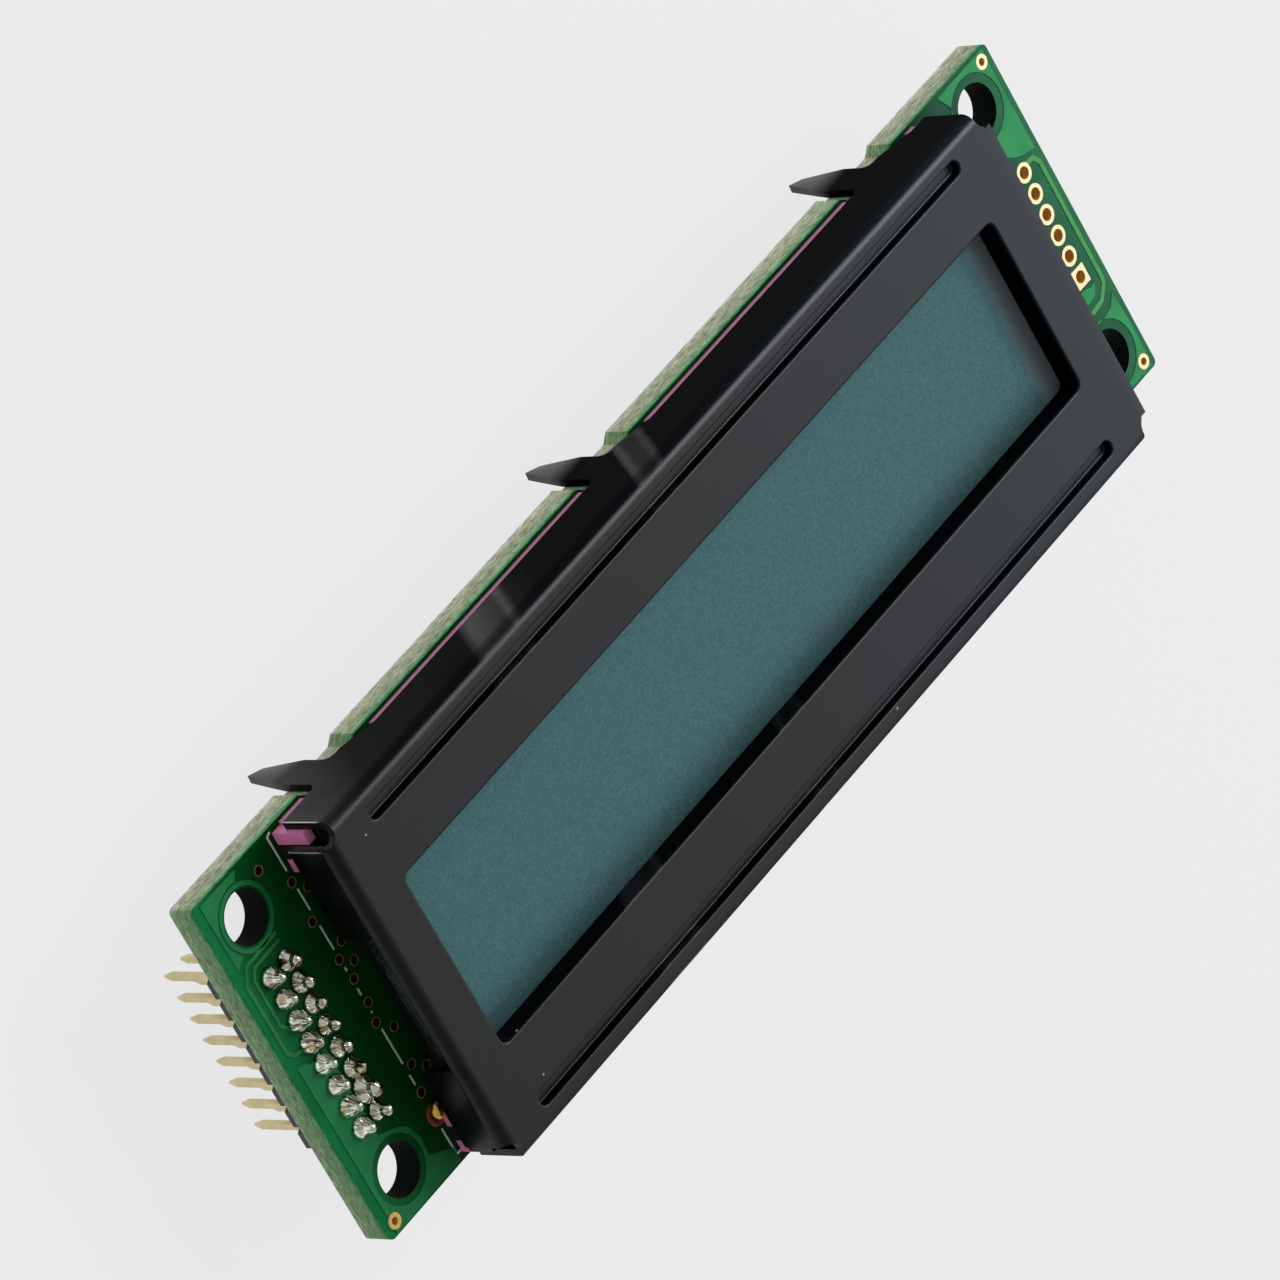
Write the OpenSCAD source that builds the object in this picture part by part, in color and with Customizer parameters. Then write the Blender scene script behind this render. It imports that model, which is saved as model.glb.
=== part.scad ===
// Reflective character display module. A liquid-crystal cell and two layered
// contact strips are clamped on a circuit board by a folded sheet bezel, whose
// six tabs pass the board's edge notches and are twisted behind it. A two-row
// pin header is soldered in at one end and a column of pads is left open at
// the other.
//
// Millimetres. The origin is the centre of the board's display side. +X runs
// from the header end to the open pads, +Z points out of the display.
//
// The sizes build outwards from the window: the bezel adds its borders, and
// the board adds its margins to the bezel.

/* [Window] */
// Length of the viewing window
window_length = 49.8; // [40:0.1:64]
// Width of the viewing window
window_width = 10; // [7:0.1:16]
// Plan radius of the window's corners
window_corner_radius = 0.45; // [0.35:0.05:1.5]
// Rounding where the face turns down into the window
rim_radius = 0.15; // [0.1:0.05:0.35]
// Gap between the lip's lower edge and the front film
lip_clearance = 0.05; // [0.02:0.01:0.3]

/* [Bezel] */
// Thickness of the sheet
sheet_thickness = 0.4; // [0.3:0.05:0.45]
// Height of the front face above the board
bezel_height = 3.85; // [3.7:0.05:5]
// Window rim to the outside of a short wall
end_border = 2.9; // [2.6:0.1:5]
// Window rim to the outside of a long wall
side_border = 4.88; // [4.8:0.02:7]
// Outside radius of the folds
fold_radius = 0.65; // [0.5:0.05:0.85]
// Lower edge of the long walls above the board
long_wall_gap = 0.75; // [0.6:0.05:1.2]
// Lower edge of the short walls above the board
short_wall_gap = 1.1; // [0.4:0.05:1.6]
// Outer corner to the end of a long wall
slot_reach_x = 0.8; // [0.7:0.05:1]
// Outer corner to the end of a short wall
slot_reach_y = 1.14; // [0.7:0.02:1.3]
// Plan radius of the corner slots
slot_radius = 0.7; // [0.2:0.05:0.75]

/* [Grooves] */
// Width of the pressed grooves at the face
groove_width = 1; // [0.8:0.05:1.1]
// Depth of the pressed grooves
groove_depth = 0.5; // [0.2:0.05:0.6]
// Outside of a long wall to a groove's centre line
groove_setback = 1.41; // [1.3:0.01:1.6]
// Outside of a short wall to a groove's end
groove_end_setback = 2.9; // [2:0.1:8]
// Rounding at the top and bottom of a groove's sides
groove_fillet = 0.12; // [0.05:0.01:0.15]

/* [End wall cut-out] */
// Centre line to the square end of the cut-out
cutout_start = 3.65; // [2:0.05:6]
// Length of the cut-out along its upper edge
cutout_length = 7.72; // [5:0.02:10]
// Face of the bezel to the cut-out's upper edge
cutout_drop = 0.62; // [0.5:0.01:1.2]
// How far the sloping end leans outwards at its foot
cutout_lean = 0.3; // [0:0.05:1.2]

/* [Tabs] */
// Tabs on each long wall
tab_count = 3; // [2:1:4]
// Outside of a short wall to the middle of the nearest board notch
notch_setback = 5.1; // [4:0.1:8]
// Width of a tab
tab_width = 1.8; // [1.2:0.05:2.2]
// Middle of the notch to the middle of its tab
tab_offset = 0.65; // [0.2:0.05:0.8]
// Tip of a tab below the board's display side
tab_reach = 4.2; // [3.4:0.05:5]
// Twist of a tab between the board's back and its tip
tab_twist = 18; // [10:1:60]
// Gap between the board's back and the start of the twist
tab_clearance = 0.05; // [0.02:0.01:0.3]
// Width of a tab's end, below its tapering sides
tab_end_width = 0.95; // [0.6:0.05:1.15]
// Length of the shoulder beside a tab
shoulder_length = 0.8; // [0.7:0.05:2.2]
// Lower edge of the shoulder above the board
shoulder_gap = 0.05; // [0.02:0.01:0.3]
// Length of the ramp from the shoulder up to the wall's edge
ramp_length = 2.1; // [0.4:0.05:2.4]
// Fillet between the wall's edge and a tab's plain side
tab_fillet = 0.5; // [0.2:0.05:0.55]
// Fillet between the shoulder and a tab's side
shoulder_fillet = 0.5; // [0.2:0.05:0.65]

/* [Board] */
// Thickness of the board
board_thickness = 1.6; // [1:0.1:2]
// Board beyond the bezel at each end
board_margin = 5.5; // [5.2:0.1:9]
// How far the long walls stand out past the board's edges
board_inset = 0.08; // [0:0.01:0.2]
// Rounding of the board's corners
board_corner_radius = 0.3; // [0.1:0.05:1]
// Diameter of the fixing holes
fixing_diameter = 2.7; // [2.2:0.1:3]
// Fixing hole's centre from the board's end
fixing_inset_x = 2.45; // [2.2:0.05:3]
// Fixing hole's centre from the board's side
fixing_inset_y = 2.3; // [2.1:0.05:2.6]
// Length of an edge notch at the board's edge
notch_length = 4.5; // [4.1:0.1:6]
// Run of a notch's sloping ends
notch_slope = 0.5; // [0.1:0.05:0.8]
// Gap between a tab and the notch's floor
notch_clearance = 0.06; // [0.03:0.01:0.3]

/* [Display cell] */
// Height of the plastic spacer under the cell
frame_height = 0.7; // [0.4:0.05:0.9]
// Thickness of each pane
glass_thickness = 0.65; // [0.4:0.05:0.7]
// Thickness of each polarizing film
film_thickness = 0.2; // [0.1:0.05:0.3]
// Thickness of the reflector
reflector_thickness = 0.15; // [0.05:0.05:0.2]
// Short wall's inside to the end of the panes
cell_end_gap = 0.8; // [0.6:0.05:1.6]
// Long wall's inside to the side of the front pane
cell_side_gap = 0.18; // [0.05:0.01:0.4]
// End of the panes to the end of the films
film_end_inset = 0.4; // [0.1:0.05:0.8]
// Side of the films outside the window rim
film_side_margin = 1.6; // [1:0.1:1.9]
// End of the panes to the end of the spacer
frame_end_inset = 0.4; // [0.1:0.05:1]
// Length of the glue drop on the filling port
seal_length = 3.5; // [2:0.1:5]
// How far the glue drop stands out of the panes
seal_reach = 0.3; // [0.1:0.05:0.4]
// Radius of the glue drop
seal_radius = 0.75; // [0.6:0.05:0.8]
// Middle of the glue drop from the centre line
seal_offset = -0.2; // [-2:0.1:2]
// Width of the spacer's rails and bars
rail_width = 2; // [1:0.1:3]
// Openings in the spacer
frame_openings = 4; // [2:1:6]

/* [Contact strips] */
// Thickness of the outer rubber layer
outer_rubber = 0.66; // [0.4:0.02:0.8]
// Thickness of the conducting core
core_thickness = 0.86; // [0.6:0.02:1]
// Thickness of the inner rubber layer
inner_rubber = 0.74; // [0.4:0.02:0.8]
// Gap between a strip and the long wall
strip_clearance = 0.02; // [0.01:0.01:0.05]
// Short wall's inside to the end of a strip
strip_end_gap = 0.13; // [0.05:0.01:0.4]
// Gap between a strip and what stands beside it
strip_side_gap = 0.15; // [0.05:0.01:0.3]
// How far a strip's free ends rise above its clamped part
strip_rise = 0.4; // [0:0.05:0.9]
// How far the squeezed foot bulges out of the outer layer
bulge_reach = 0.15; // [0.1:0.01:0.3]
// Straight part of the bulging foot
bulge_flat = 0.2; // [0.05:0.05:0.25]

/* [Header] */
// Pitch of the header's pins and of the open pads
pitch = 1.27; // [1.27:0.01:1.35]
// Pins in each of the header's two rows
header_rows = 8; // [4:1:8]
// Outer row's centres from the board's end
header_inset = 1.83; // [1.7:0.01:2.2]
// Side of a pin's square section
pin_side = 0.32; // [0.3:0.02:0.42]
// Pin tip below the board's display side
pin_reach = 7.15; // [5.5:0.05:10]
// Pin end above the board's display side
pin_stub = 0.95; // [0.9:0.05:1.4]
// Height of a pin's pointed end
pin_point = 0.5; // [0.2:0.05:0.8]
// Height of the taper at a pin's soldered end
pin_chamfer = 0.15; // [0.05:0.05:0.3]
// Diameter of the plated pin holes
pin_hole_diameter = 0.75; // [0.7:0.01:0.8]
// Thickness of the housing
housing_thickness = 1.45; // [1:0.05:2.5]
// Width of the housing
housing_width = 3.4; // [2.6:0.05:3.6]
// Depth of the vees between the housing's cells
housing_vee = 0.3; // [0.1:0.05:0.4]
// Length of each cell's flat side
housing_flat = 0.88; // [0.6:0.02:1.1]
// Gap between the housing's bores and the pins
bore_clearance = 0.02; // [0.01:0.01:0.05]
// Foot diameter of a solder joint
joint_diameter = 1.12; // [1:0.02:1.18]
// Height of a solder joint
joint_height = 0.85; // [0.6:0.05:0.9]
// Diameter of a solder joint's top
joint_top_diameter = 0.64; // [0.62:0.02:0.8]

/* [Pads and vias] */
// Open pads at the free end
pad_count = 6; // [2:1:6]
// Open pads' centres from the board's end
pad_inset = 1.75; // [1.2:0.05:2.2]
// Diameter of an open pad
pad_diameter = 1.05; // [0.95:0.05:1.15]
// Bore of an open pad
pad_bore = 0.65; // [0.5:0.05:0.75]
// Tooling hole's centre from the board's end
tooling_inset_x = 0.75; // [0.6:0.05:0.9]
// Tooling hole's centre from the board's side
tooling_inset_y = 0.65; // [0.55:0.05:0.8]
// Diameter of a tooling hole's pad
tooling_diameter = 0.8; // [0.6:0.05:0.9]
// Bore of a tooling hole
tooling_bore = 0.4; // [0.3:0.05:0.4]
// Outside diameter of a via's sleeve
via_diameter = 0.56; // [0.4:0.02:0.6]
// Bore of a via
via_bore = 0.28; // [0.15:0.01:0.3]
// Wall of a plated hole
plating_wall = 0.06; // [0.04:0.01:0.08]
// Height of the copper above the board
copper_height = 0.04; // [0.02:0.01:0.1]
// Diameter of the solder ball on the last via
bead_diameter = 0.74; // [0.6:0.02:0.8]
// Height of the solder ball above the board
bead_height = 0.5; // [0.4:0.05:0.6]
// Gap between the solder ball and the end of the contact strip
bead_gap = 0.03; // [0.02:0.01:0.1]
// Inner side of the contact strip to the middle of the solder ball
bead_inset = 0.3; // [0.2:0.05:0.5]

/* [Parts on the back] */
// Diameter of an epoxy cover over a driver chip
cover_diameter = 9.5; // [6:0.1:12]
// Height of an epoxy cover
cover_height = 1.3; // [0.8:0.05:2]
// Distance between the two epoxy covers
cover_spacing = 22.7; // [15:0.1:26]
// Length of a chip part
chip_length = 2; // [1.6:0.1:3]
// Width of a chip part
chip_width = 1.25; // [0.8:0.05:1.6]
// Height of a chip part
chip_height = 0.55; // [0.3:0.05:1]
// Chip resistors
chip_count = 5; // [1:1:6]
// Distance between chip resistors
chip_spacing = 1.9; // [1.75:0.05:2.4]
// Epoxy cover's edge to the middle of the chip parts beside it
chip_setback = 2.5; // [1.8:0.1:4]

/* [Output] */
// Which piece to draw

/* [Hidden] */
curve = 32;
small_curve = 16;
// Overlap that joins shapes, and how far a cutting shape runs past a face
overlap = 0.05;
through = 1;
twist_steps = 10;
// Width of a pin's tip as a share of the pin's side
pin_tip_share = 0.3;

// Bezel, from the window outwards
bezel_length = window_length + 2 * end_border;
bezel_width = window_width + 2 * side_border;
wall_x = bezel_length / 2;
wall_y = bezel_width / 2;
inner_x = wall_x - sheet_thickness;
inner_y = wall_y - sheet_thickness;
rim_x = window_length / 2;
rim_y = window_width / 2;
groove_y = wall_y - groove_setback;
groove_length = bezel_length - 2 * groove_end_setback;

// Board
board_length = bezel_length + 2 * board_margin;
board_width = bezel_width - 2 * board_inset;
end_x = board_length / 2;
side_y = board_width / 2;
board_back = -board_thickness;
notch_floor = inner_y - notch_clearance;
twist_top = board_back - tab_clearance;
fixing_x = end_x - fixing_inset_x;
fixing_y = side_y - fixing_inset_y;
notch_spacing = (bezel_length - 2 * notch_setback) / (tab_count - 1);
notch_points = [for (i = [0:tab_count - 1]) (i - (tab_count - 1) / 2) * notch_spacing];

// Display cell, from the board up
reflector_z = frame_height;
rear_film_z = reflector_z + reflector_thickness;
rear_glass_z = rear_film_z + film_thickness;
front_glass_z = rear_glass_z + glass_thickness;
front_film_z = front_glass_z + glass_thickness;
film_top = front_film_z + film_thickness;
lip_bottom = film_top + lip_clearance;
cell_x = inner_x - cell_end_gap;
cell_y = inner_y - cell_side_gap;
film_x = cell_x - film_end_inset;
film_y = rim_y + film_side_margin;

// Contact strips, from the long wall inwards
strip_x = inner_x - strip_end_gap;
strip_outer = inner_y - strip_clearance;
core_outer = strip_outer - outer_rubber;
core_inner = core_outer - core_thickness;
strip_inner = core_inner - inner_rubber;
between_strips = strip_inner - strip_side_gap;
strip_free = cell_x + strip_side_gap;
bulge_x = strip_x - outer_rubber;
strip_top = front_glass_z + strip_rise;

// Header and pads
header_x = header_inset - end_x;
inner_row_x = header_x + pitch;
housing_x = (header_x + inner_row_x) / 2;
housing_back = board_back - housing_thickness;
pin_count = 2 * header_rows;
pad_x = end_x - pad_inset;
tooling_x = end_x - tooling_inset_x;
tooling_y = side_y - tooling_inset_y;
tooling_places = [[-tooling_x, -tooling_y], [tooling_x, -tooling_y], [tooling_x, tooling_y]];

// Vias beside the bezel's header end: [past the short wall's outside, Y]
via_list = [
    [1.15, 8.65], [-0.1, 6.95], [-0.75, 6.2], [0.05, 4.75], [-0.8, 2.95],
    [-0.15, 2.35], [-0.85, 1.75], [-0.3, 1.1], [-0.3, -0.3], [-0.1, -1.35],
    [-0.85, -2.2], [-0.6, -4.25], [-1.3, -4.9], [-0.25, -5.65]
];
bead_place = [-strip_x - bead_gap - bead_diameter / 2, bead_inset - strip_inner];
via_places = concat([for (via = via_list) [-wall_x - via[0], via[1]]], [bead_place]);

// Parts on the back
chip_x = (cover_spacing + cover_diameter) / 2 + chip_setback;

// Names
function two_digits(i) = i < 10 ? str("0", i) : str(i);
function pin_name(i) = str("header_pin_", two_digits(i));
function joint_name(i) = str("solder_joint_", two_digits(i));
function pad_name(i) = str("pad_sleeve_", i);
side_names = ["left", "right"];
function side_turn(name) = name == "left" ? 0 : 180;

// Centre of pin i: odd numbers are the outer row, counted from the +Y side
function pin_place(i) = [
    i % 2 == 1 ? header_x : inner_row_x,
    ((header_rows - 1) / 2 - floor((i - 1) / 2)) * pitch
];
function pad_place(i) = [pad_x, ((pad_count - 1) / 2 - (i - 1)) * pitch];

// A centred block standing on z = 0
module block(length, width, height) {
    translate([-length / 2, -width / 2, 0])
        cube([length, width, height]);
}

// A centred rectangle with rounded corners
module rounded_rectangle(length, width, radius, facets) {
    square([length - 2 * radius, width], center = true);
    square([length, width - 2 * radius], center = true);
    for (x = [-1, 1])
        for (y = [-1, 1])
            translate([x * (length / 2 - radius), y * (width / 2 - radius)])
                circle(r = radius, $fn = facets);
}

// Outline of a box cut across, from below z = 0 up, with rounded upper corners
module arch(half_width, top, radius) {
    translate([-half_width, -through])
        square([2 * half_width, top - radius + through]);
    translate([-half_width + radius, -through])
        square([2 * (half_width - radius), top + through]);
    for (x = [-1, 1])
        translate([x * (half_width - radius), top - radius])
            circle(r = radius, $fn = curve);
}

// A box with its upper edges rounded, as sheet folded down on four sides
module folded_block(half_x, half_y, top, radius) {
    intersection() {
        rotate([90, 0, 90])
            translate([0, 0, -half_x])
                linear_extrude(height = 2 * half_x)
                    arch(half_y, top, radius);
        rotate([90, 0, 0])
            translate([0, 0, -half_y])
                linear_extrude(height = 2 * half_y)
                    arch(half_x, top, radius);
    }
}

// Section of the window's lip: x runs outwards from the rim, y is the height
module lip_section() {
    translate([0, lip_bottom])
        square([sheet_thickness, bezel_height - rim_radius - lip_bottom]);
    translate([rim_radius, bezel_height - sheet_thickness])
        square([2 * sheet_thickness - rim_radius, sheet_thickness]);
    translate([0, bezel_height - rim_radius])
        intersection() {
            square(rim_radius);
            translate([rim_radius, 0])
                circle(r = rim_radius, $fn = curve);
        }
}

// The lip's section run round the window: two runs and two turned corners
// on each half, and the other half turned round the centre
module window_lip() {
    straight_x = rim_x - window_corner_radius;
    straight_y = rim_y - window_corner_radius;
    for (half = [0, 180])
        rotate([0, 0, half]) {
            translate([-straight_x, rim_y, 0])
                rotate([90, 0, 90])
                    linear_extrude(height = 2 * straight_x)
                        lip_section();
            translate([rim_x, straight_y, 0])
                rotate([90, 0, 0])
                    linear_extrude(height = 2 * straight_y)
                        lip_section();
            for (quarter = [0, 1])
                translate([straight_x * (1 - 2 * quarter), straight_y, 0])
                    rotate([0, 0, 90 * quarter])
                        rotate_extrude(angle = 90, $fn = curve)
                            translate([window_corner_radius, 0])
                                lip_section();
        }
}

// Section of what a groove's punch takes away, with the face at y = 0
module groove_cut_section() {
    floor_width = groove_width - 2 * groove_fillet;
    cut_height = groove_depth + 2 * groove_fillet;
    translate([0, cut_height / 2 - groove_depth])
        rounded_rectangle(floor_width, cut_height, groove_fillet, small_curve);
    difference() {
        translate([-groove_width / 2, -groove_fillet])
            square([groove_width, groove_fillet + overlap]);
        for (side = [-1, 1])
            translate([side * groove_width / 2, -groove_fillet])
                circle(r = groove_fillet, $fn = small_curve);
    }
}

// Section of the sheet pressed down round a groove, with the face at y = 0
module groove_sheet_section() {
    sheet_width = groove_width - 2 * groove_fillet + 2 * sheet_thickness;
    sheet_depth = groove_depth + sheet_thickness;
    intersection() {
        rounded_rectangle(sheet_width, 2 * sheet_depth, sheet_thickness, small_curve);
        translate([-sheet_width, -2 * sheet_depth])
            square([2 * sheet_width, 2 * sheet_depth - sheet_thickness / 2]);
    }
}

// A groove section run along the face, with turned round ends
module along_groove() {
    straight = groove_length - groove_width;
    translate([-straight / 2, 0, 0])
        rotate([90, 0, 90])
            linear_extrude(height = straight)
                children();
    for (end = [0, 180])
        rotate([0, 0, end])
            translate([straight / 2, 0, 0])
                rotate([0, 0, -90])
                    rotate_extrude(angle = 180, $fn = small_curve)
                        intersection() {
                            children();
                            translate([0, -2 * groove_width])
                                square([2 * groove_width, 4 * groove_width]);
                        }
}

// Places its child on the centre line of both grooves
module at_grooves() {
    for (side = [-1, 1])
        translate([0, side * groove_y, bezel_height])
            children();
}

// What opens the folded sheet: window, corner slots, end cut-out, lower edges
module bezel_openings() {
    translate([0, 0, -through])
        linear_extrude(height = bezel_height + 2 * through) {
            rounded_rectangle(
                window_length + 2 * sheet_thickness,
                window_width + 2 * sheet_thickness,
                window_corner_radius + sheet_thickness,
                curve
            );
            for (x = [-1, 1])
                for (y = [-1, 1])
                    translate([x * wall_x, y * wall_y])
                        rounded_rectangle(2 * slot_reach_x, 2 * slot_reach_y, slot_radius, curve);
        }
    translate([0, 0, -2 * through])
        block(2 * bezel_length, 2 * bezel_width, long_wall_gap + 2 * through);
    for (x = [-1, 1])
        translate([x * wall_x, 0, -through])
            block(2 * slot_reach_x, 2 * bezel_width, short_wall_gap + through);
    translate([-wall_x - through, 0, 0])
        rotate([90, 0, 90])
            linear_extrude(height = sheet_thickness + through + overlap)
                cutout_outline();
}

// Outline of the end wall's cut-out: x is the object's Y, y its Z
module cutout_outline() {
    cutout_top = bezel_height - cutout_drop;
    cutout_end = cutout_start - cutout_length;
    polygon([
        [cutout_start, cutout_top],
        [cutout_end, cutout_top],
        [cutout_end - cutout_lean, short_wall_gap],
        [cutout_end - cutout_lean, 0],
        [cutout_start, 0]
    ]);
}

// Outline of a tab's flat part with its shoulder, ramp and fillets. The tab's
// middle is at x = 0 and y is the object's Z.
module tab_outline() {
    half = tab_width / 2;
    root = long_wall_gap + sheet_thickness;
    ramp_start = half + shoulder_length;
    translate([-half, twist_top])
        square([tab_width, root - twist_top]);
    polygon([
        [0, shoulder_gap],
        [ramp_start, shoulder_gap],
        [ramp_start + ramp_length, long_wall_gap],
        [ramp_start + ramp_length, root],
        [0, root]
    ]);
    difference() {
        translate([-half - tab_fillet, long_wall_gap - tab_fillet])
            square([tab_fillet + overlap, tab_fillet + sheet_thickness]);
        translate([-half - tab_fillet, long_wall_gap - tab_fillet])
            circle(r = tab_fillet, $fn = curve);
    }
    difference() {
        translate([half - overlap, shoulder_gap - shoulder_fillet])
            square([shoulder_fillet + overlap, shoulder_fillet + overlap]);
        translate([half + shoulder_fillet, shoulder_gap - shoulder_fillet])
            circle(r = shoulder_fillet, $fn = curve);
    }
}

// A tab: its flat part, and behind the board a blade that tapers as it twists.
// The taper squeezes the turned section sideways, so it is turned by less.
module tab() {
    blade_top = twist_top + overlap;
    taper = tab_end_width / tab_width;
    translate([0, wall_y, 0])
        rotate([90, 0, 0])
            linear_extrude(height = sheet_thickness)
                tab_outline();
    translate([0, wall_y - sheet_thickness / 2, blade_top])
        mirror([0, 0, 1])
            linear_extrude(
                height = tab_reach + blade_top,
                twist = atan(taper * tan(tab_twist)),
                scale = [taper, 1],
                slices = twist_steps
            )
                square([tab_width, sheet_thickness], center = true);
}

// The folded sheet with its lip, grooves and tabs
module bezel() {
    color("#2c2e31")
        difference() {
            union() {
                difference() {
                    folded_block(wall_x, wall_y, bezel_height, fold_radius);
                    folded_block(
                        inner_x,
                        inner_y,
                        bezel_height - sheet_thickness,
                        fold_radius - sheet_thickness
                    );
                    bezel_openings();
                }
                window_lip();
                at_grooves()
                    along_groove()
                        groove_sheet_section();
                for (half = [0, 180])
                    rotate([0, 0, half])
                        for (x = notch_points)
                            translate([x - tab_offset, 0, 0])
                                tab();
            }
            at_grooves()
                along_groove()
                    groove_cut_section();
        }
}

// A hole right through the board
module board_hole(place, diameter, facets) {
    translate([place[0], place[1], board_back - through])
        cylinder(d = diameter, h = board_thickness + 2 * through, $fn = facets);
}

// Outline of an edge notch, with the board's edge at y = 0
module notch_outline() {
    depth = side_y - notch_floor;
    polygon([
        [-notch_length / 2, through],
        [-notch_length / 2, 0],
        [notch_slope - notch_length / 2, -depth],
        [notch_length / 2 - notch_slope, -depth],
        [notch_length / 2, 0],
        [notch_length / 2, through]
    ]);
}

// The board with its notches and holes
module circuit_board() {
    color("#1d6b3a")
        difference() {
            translate([0, 0, board_back])
                linear_extrude(height = board_thickness)
                    difference() {
                        rounded_rectangle(board_length, board_width, board_corner_radius, small_curve);
                        for (half = [0, 180])
                            rotate(half)
                                for (x = notch_points)
                                    translate([x, side_y])
                                        notch_outline();
                    }
            for (x = [-fixing_x, fixing_x])
                for (y = [-fixing_y, fixing_y])
                    board_hole([x, y], fixing_diameter, curve);
            for (i = [1:pin_count])
                board_hole(pin_place(i), pin_hole_diameter, small_curve);
            for (i = [1:pad_count])
                board_hole(pad_place(i), pad_bore + 2 * plating_wall, small_curve);
            for (place = tooling_places)
                board_hole(place, tooling_bore + 2 * plating_wall, small_curve);
            for (place = via_places)
                board_hole(place, via_diameter, small_curve);
        }
}

// A film or pane lying level
module layer(half_x, half_y, bottom, thickness) {
    translate([0, 0, bottom])
        block(2 * half_x, 2 * half_y, thickness);
}

module front_polarizer() {
    color("#44696f")
        layer(film_x, film_y, front_film_z, film_thickness);
}

module front_glass() {
    color("#3a4c4c")
        layer(cell_x, cell_y, front_glass_z, glass_thickness);
}

module rear_glass() {
    color("#34464a")
        layer(cell_x, between_strips, rear_glass_z, glass_thickness);
}

module rear_polarizer() {
    color("#5f7468")
        layer(film_x, between_strips, rear_film_z, film_thickness);
}

module reflector_film() {
    color("#b9bdb4")
        layer(film_x, between_strips, reflector_z, reflector_thickness);
}

// The spacer under the cell: a plate with a row of openings
module display_frame() {
    frame_x = cell_x - frame_end_inset;
    opening_pitch = (2 * frame_x - rail_width) / frame_openings;
    color("#15171a")
        difference() {
            layer(frame_x, between_strips, 0, frame_height);
            for (i = [0:frame_openings - 1])
                translate([(i - (frame_openings - 1) / 2) * opening_pitch, 0, -through])
                    block(
                        opening_pitch - rail_width,
                        2 * (between_strips - rail_width),
                        frame_height + 2 * through
                    );
        }
}

// The drop of glue on the end of the panes: the outer slice of a round bar
module cell_end_seal() {
    bar_x = seal_radius - seal_reach - cell_x;
    half = seal_length / 2 - seal_radius;
    color("#4a565a")
        intersection() {
            translate([bar_x, seal_offset, front_glass_z]) {
                rotate([90, 0, 0])
                    cylinder(r = seal_radius, h = 2 * half, center = true, $fn = curve);
                for (end = [-half, half])
                    translate([0, end, 0])
                        sphere(r = seal_radius, $fn = curve);
            }
            translate([-cell_x - seal_radius, seal_offset, rear_glass_z])
                block(2 * seal_radius, 2 * seal_length, 2 * glass_thickness);
        }
}

// One layer of a contact strip: low where the pane presses on it, free at both
// ends. y runs outwards.
module strip_layer(inner, outer) {
    width = outer - inner;
    translate([0, inner + width / 2, 0])
        block(2 * strip_x, width, front_glass_z);
    for (x = [-1, 1])
        translate([x * (strip_x + strip_free) / 2, inner + width / 2, 0])
            block(strip_x - strip_free, width, strip_top);
}

// The foot of the outer layer, squeezed out under the long wall between tabs
module strip_bulge() {
    before_tab = tab_width / 2 + tab_fillet + strip_side_gap;
    after_tab = tab_width / 2 + shoulder_length + ramp_length + strip_side_gap;
    difference() {
        translate([-bulge_x, strip_outer - overlap, 0])
            rotate([90, 0, 90])
                linear_extrude(height = 2 * bulge_x) {
                    square([overlap + bulge_reach, bulge_flat]);
                    square([overlap, bulge_flat + bulge_reach]);
                    translate([overlap, bulge_flat])
                        intersection() {
                            circle(r = bulge_reach, $fn = small_curve);
                            square(bulge_reach);
                        }
                }
        for (x = notch_points)
            translate([x - tab_offset + (after_tab - before_tab) / 2, wall_y, -through])
                block(before_tab + after_tab, 2 * (wall_y - strip_outer), 2 * through);
    }
}

module contact_rubber(side) {
    color("#b0648f")
        rotate([0, 0, side_turn(side)]) {
            strip_layer(core_outer, strip_outer);
            strip_layer(strip_inner, core_inner);
            strip_bulge();
        }
}

module contact_core(side) {
    color("#17181a")
        rotate([0, 0, side_turn(side)])
            strip_layer(core_inner, core_outer);
}

// Outline of the housing: a row of cells with vees between them
module housing_outline() {
    half = housing_width / 2;
    ends = header_rows * pitch / 2;
    cell_y = [for (i = [0:header_rows - 1]) (i - (header_rows - 1) / 2) * pitch];
    edge = concat(
        [[half - housing_vee, -ends]],
        [
            for (y = cell_y)
                for (corner = [
                    [half, y - housing_flat / 2],
                    [half, y + housing_flat / 2],
                    [half - housing_vee, y + pitch / 2]
                ])
                    corner
        ]
    );
    polygon(concat(edge, [for (corner = edge) [-corner[0], -corner[1]]]));
}

module header_housing() {
    bore = pin_side + 2 * bore_clearance;
    color("#141414")
        difference() {
            translate([housing_x, 0, housing_back])
                linear_extrude(height = housing_thickness)
                    housing_outline();
            for (i = [1:pin_count])
                translate([pin_place(i)[0], pin_place(i)[1], housing_back - through])
                    block(bore, bore, housing_thickness + 2 * through);
        }
}

// A square pin with both ends drawn to a point
module header_pin(i) {
    shaft_bottom = pin_point - pin_reach;
    shaft_top = pin_stub - pin_chamfer;
    color("#cfc49a")
        translate([pin_place(i)[0], pin_place(i)[1], 0]) {
            translate([0, 0, shaft_bottom])
                block(pin_side, pin_side, shaft_top - shaft_bottom);
            translate([0, 0, shaft_bottom])
                mirror([0, 0, 1])
                    linear_extrude(height = pin_point, scale = pin_tip_share)
                        square(pin_side, center = true);
            translate([0, 0, shaft_top])
                linear_extrude(height = pin_chamfer, scale = pin_tip_share)
                    square(pin_side, center = true);
        }
}

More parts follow.
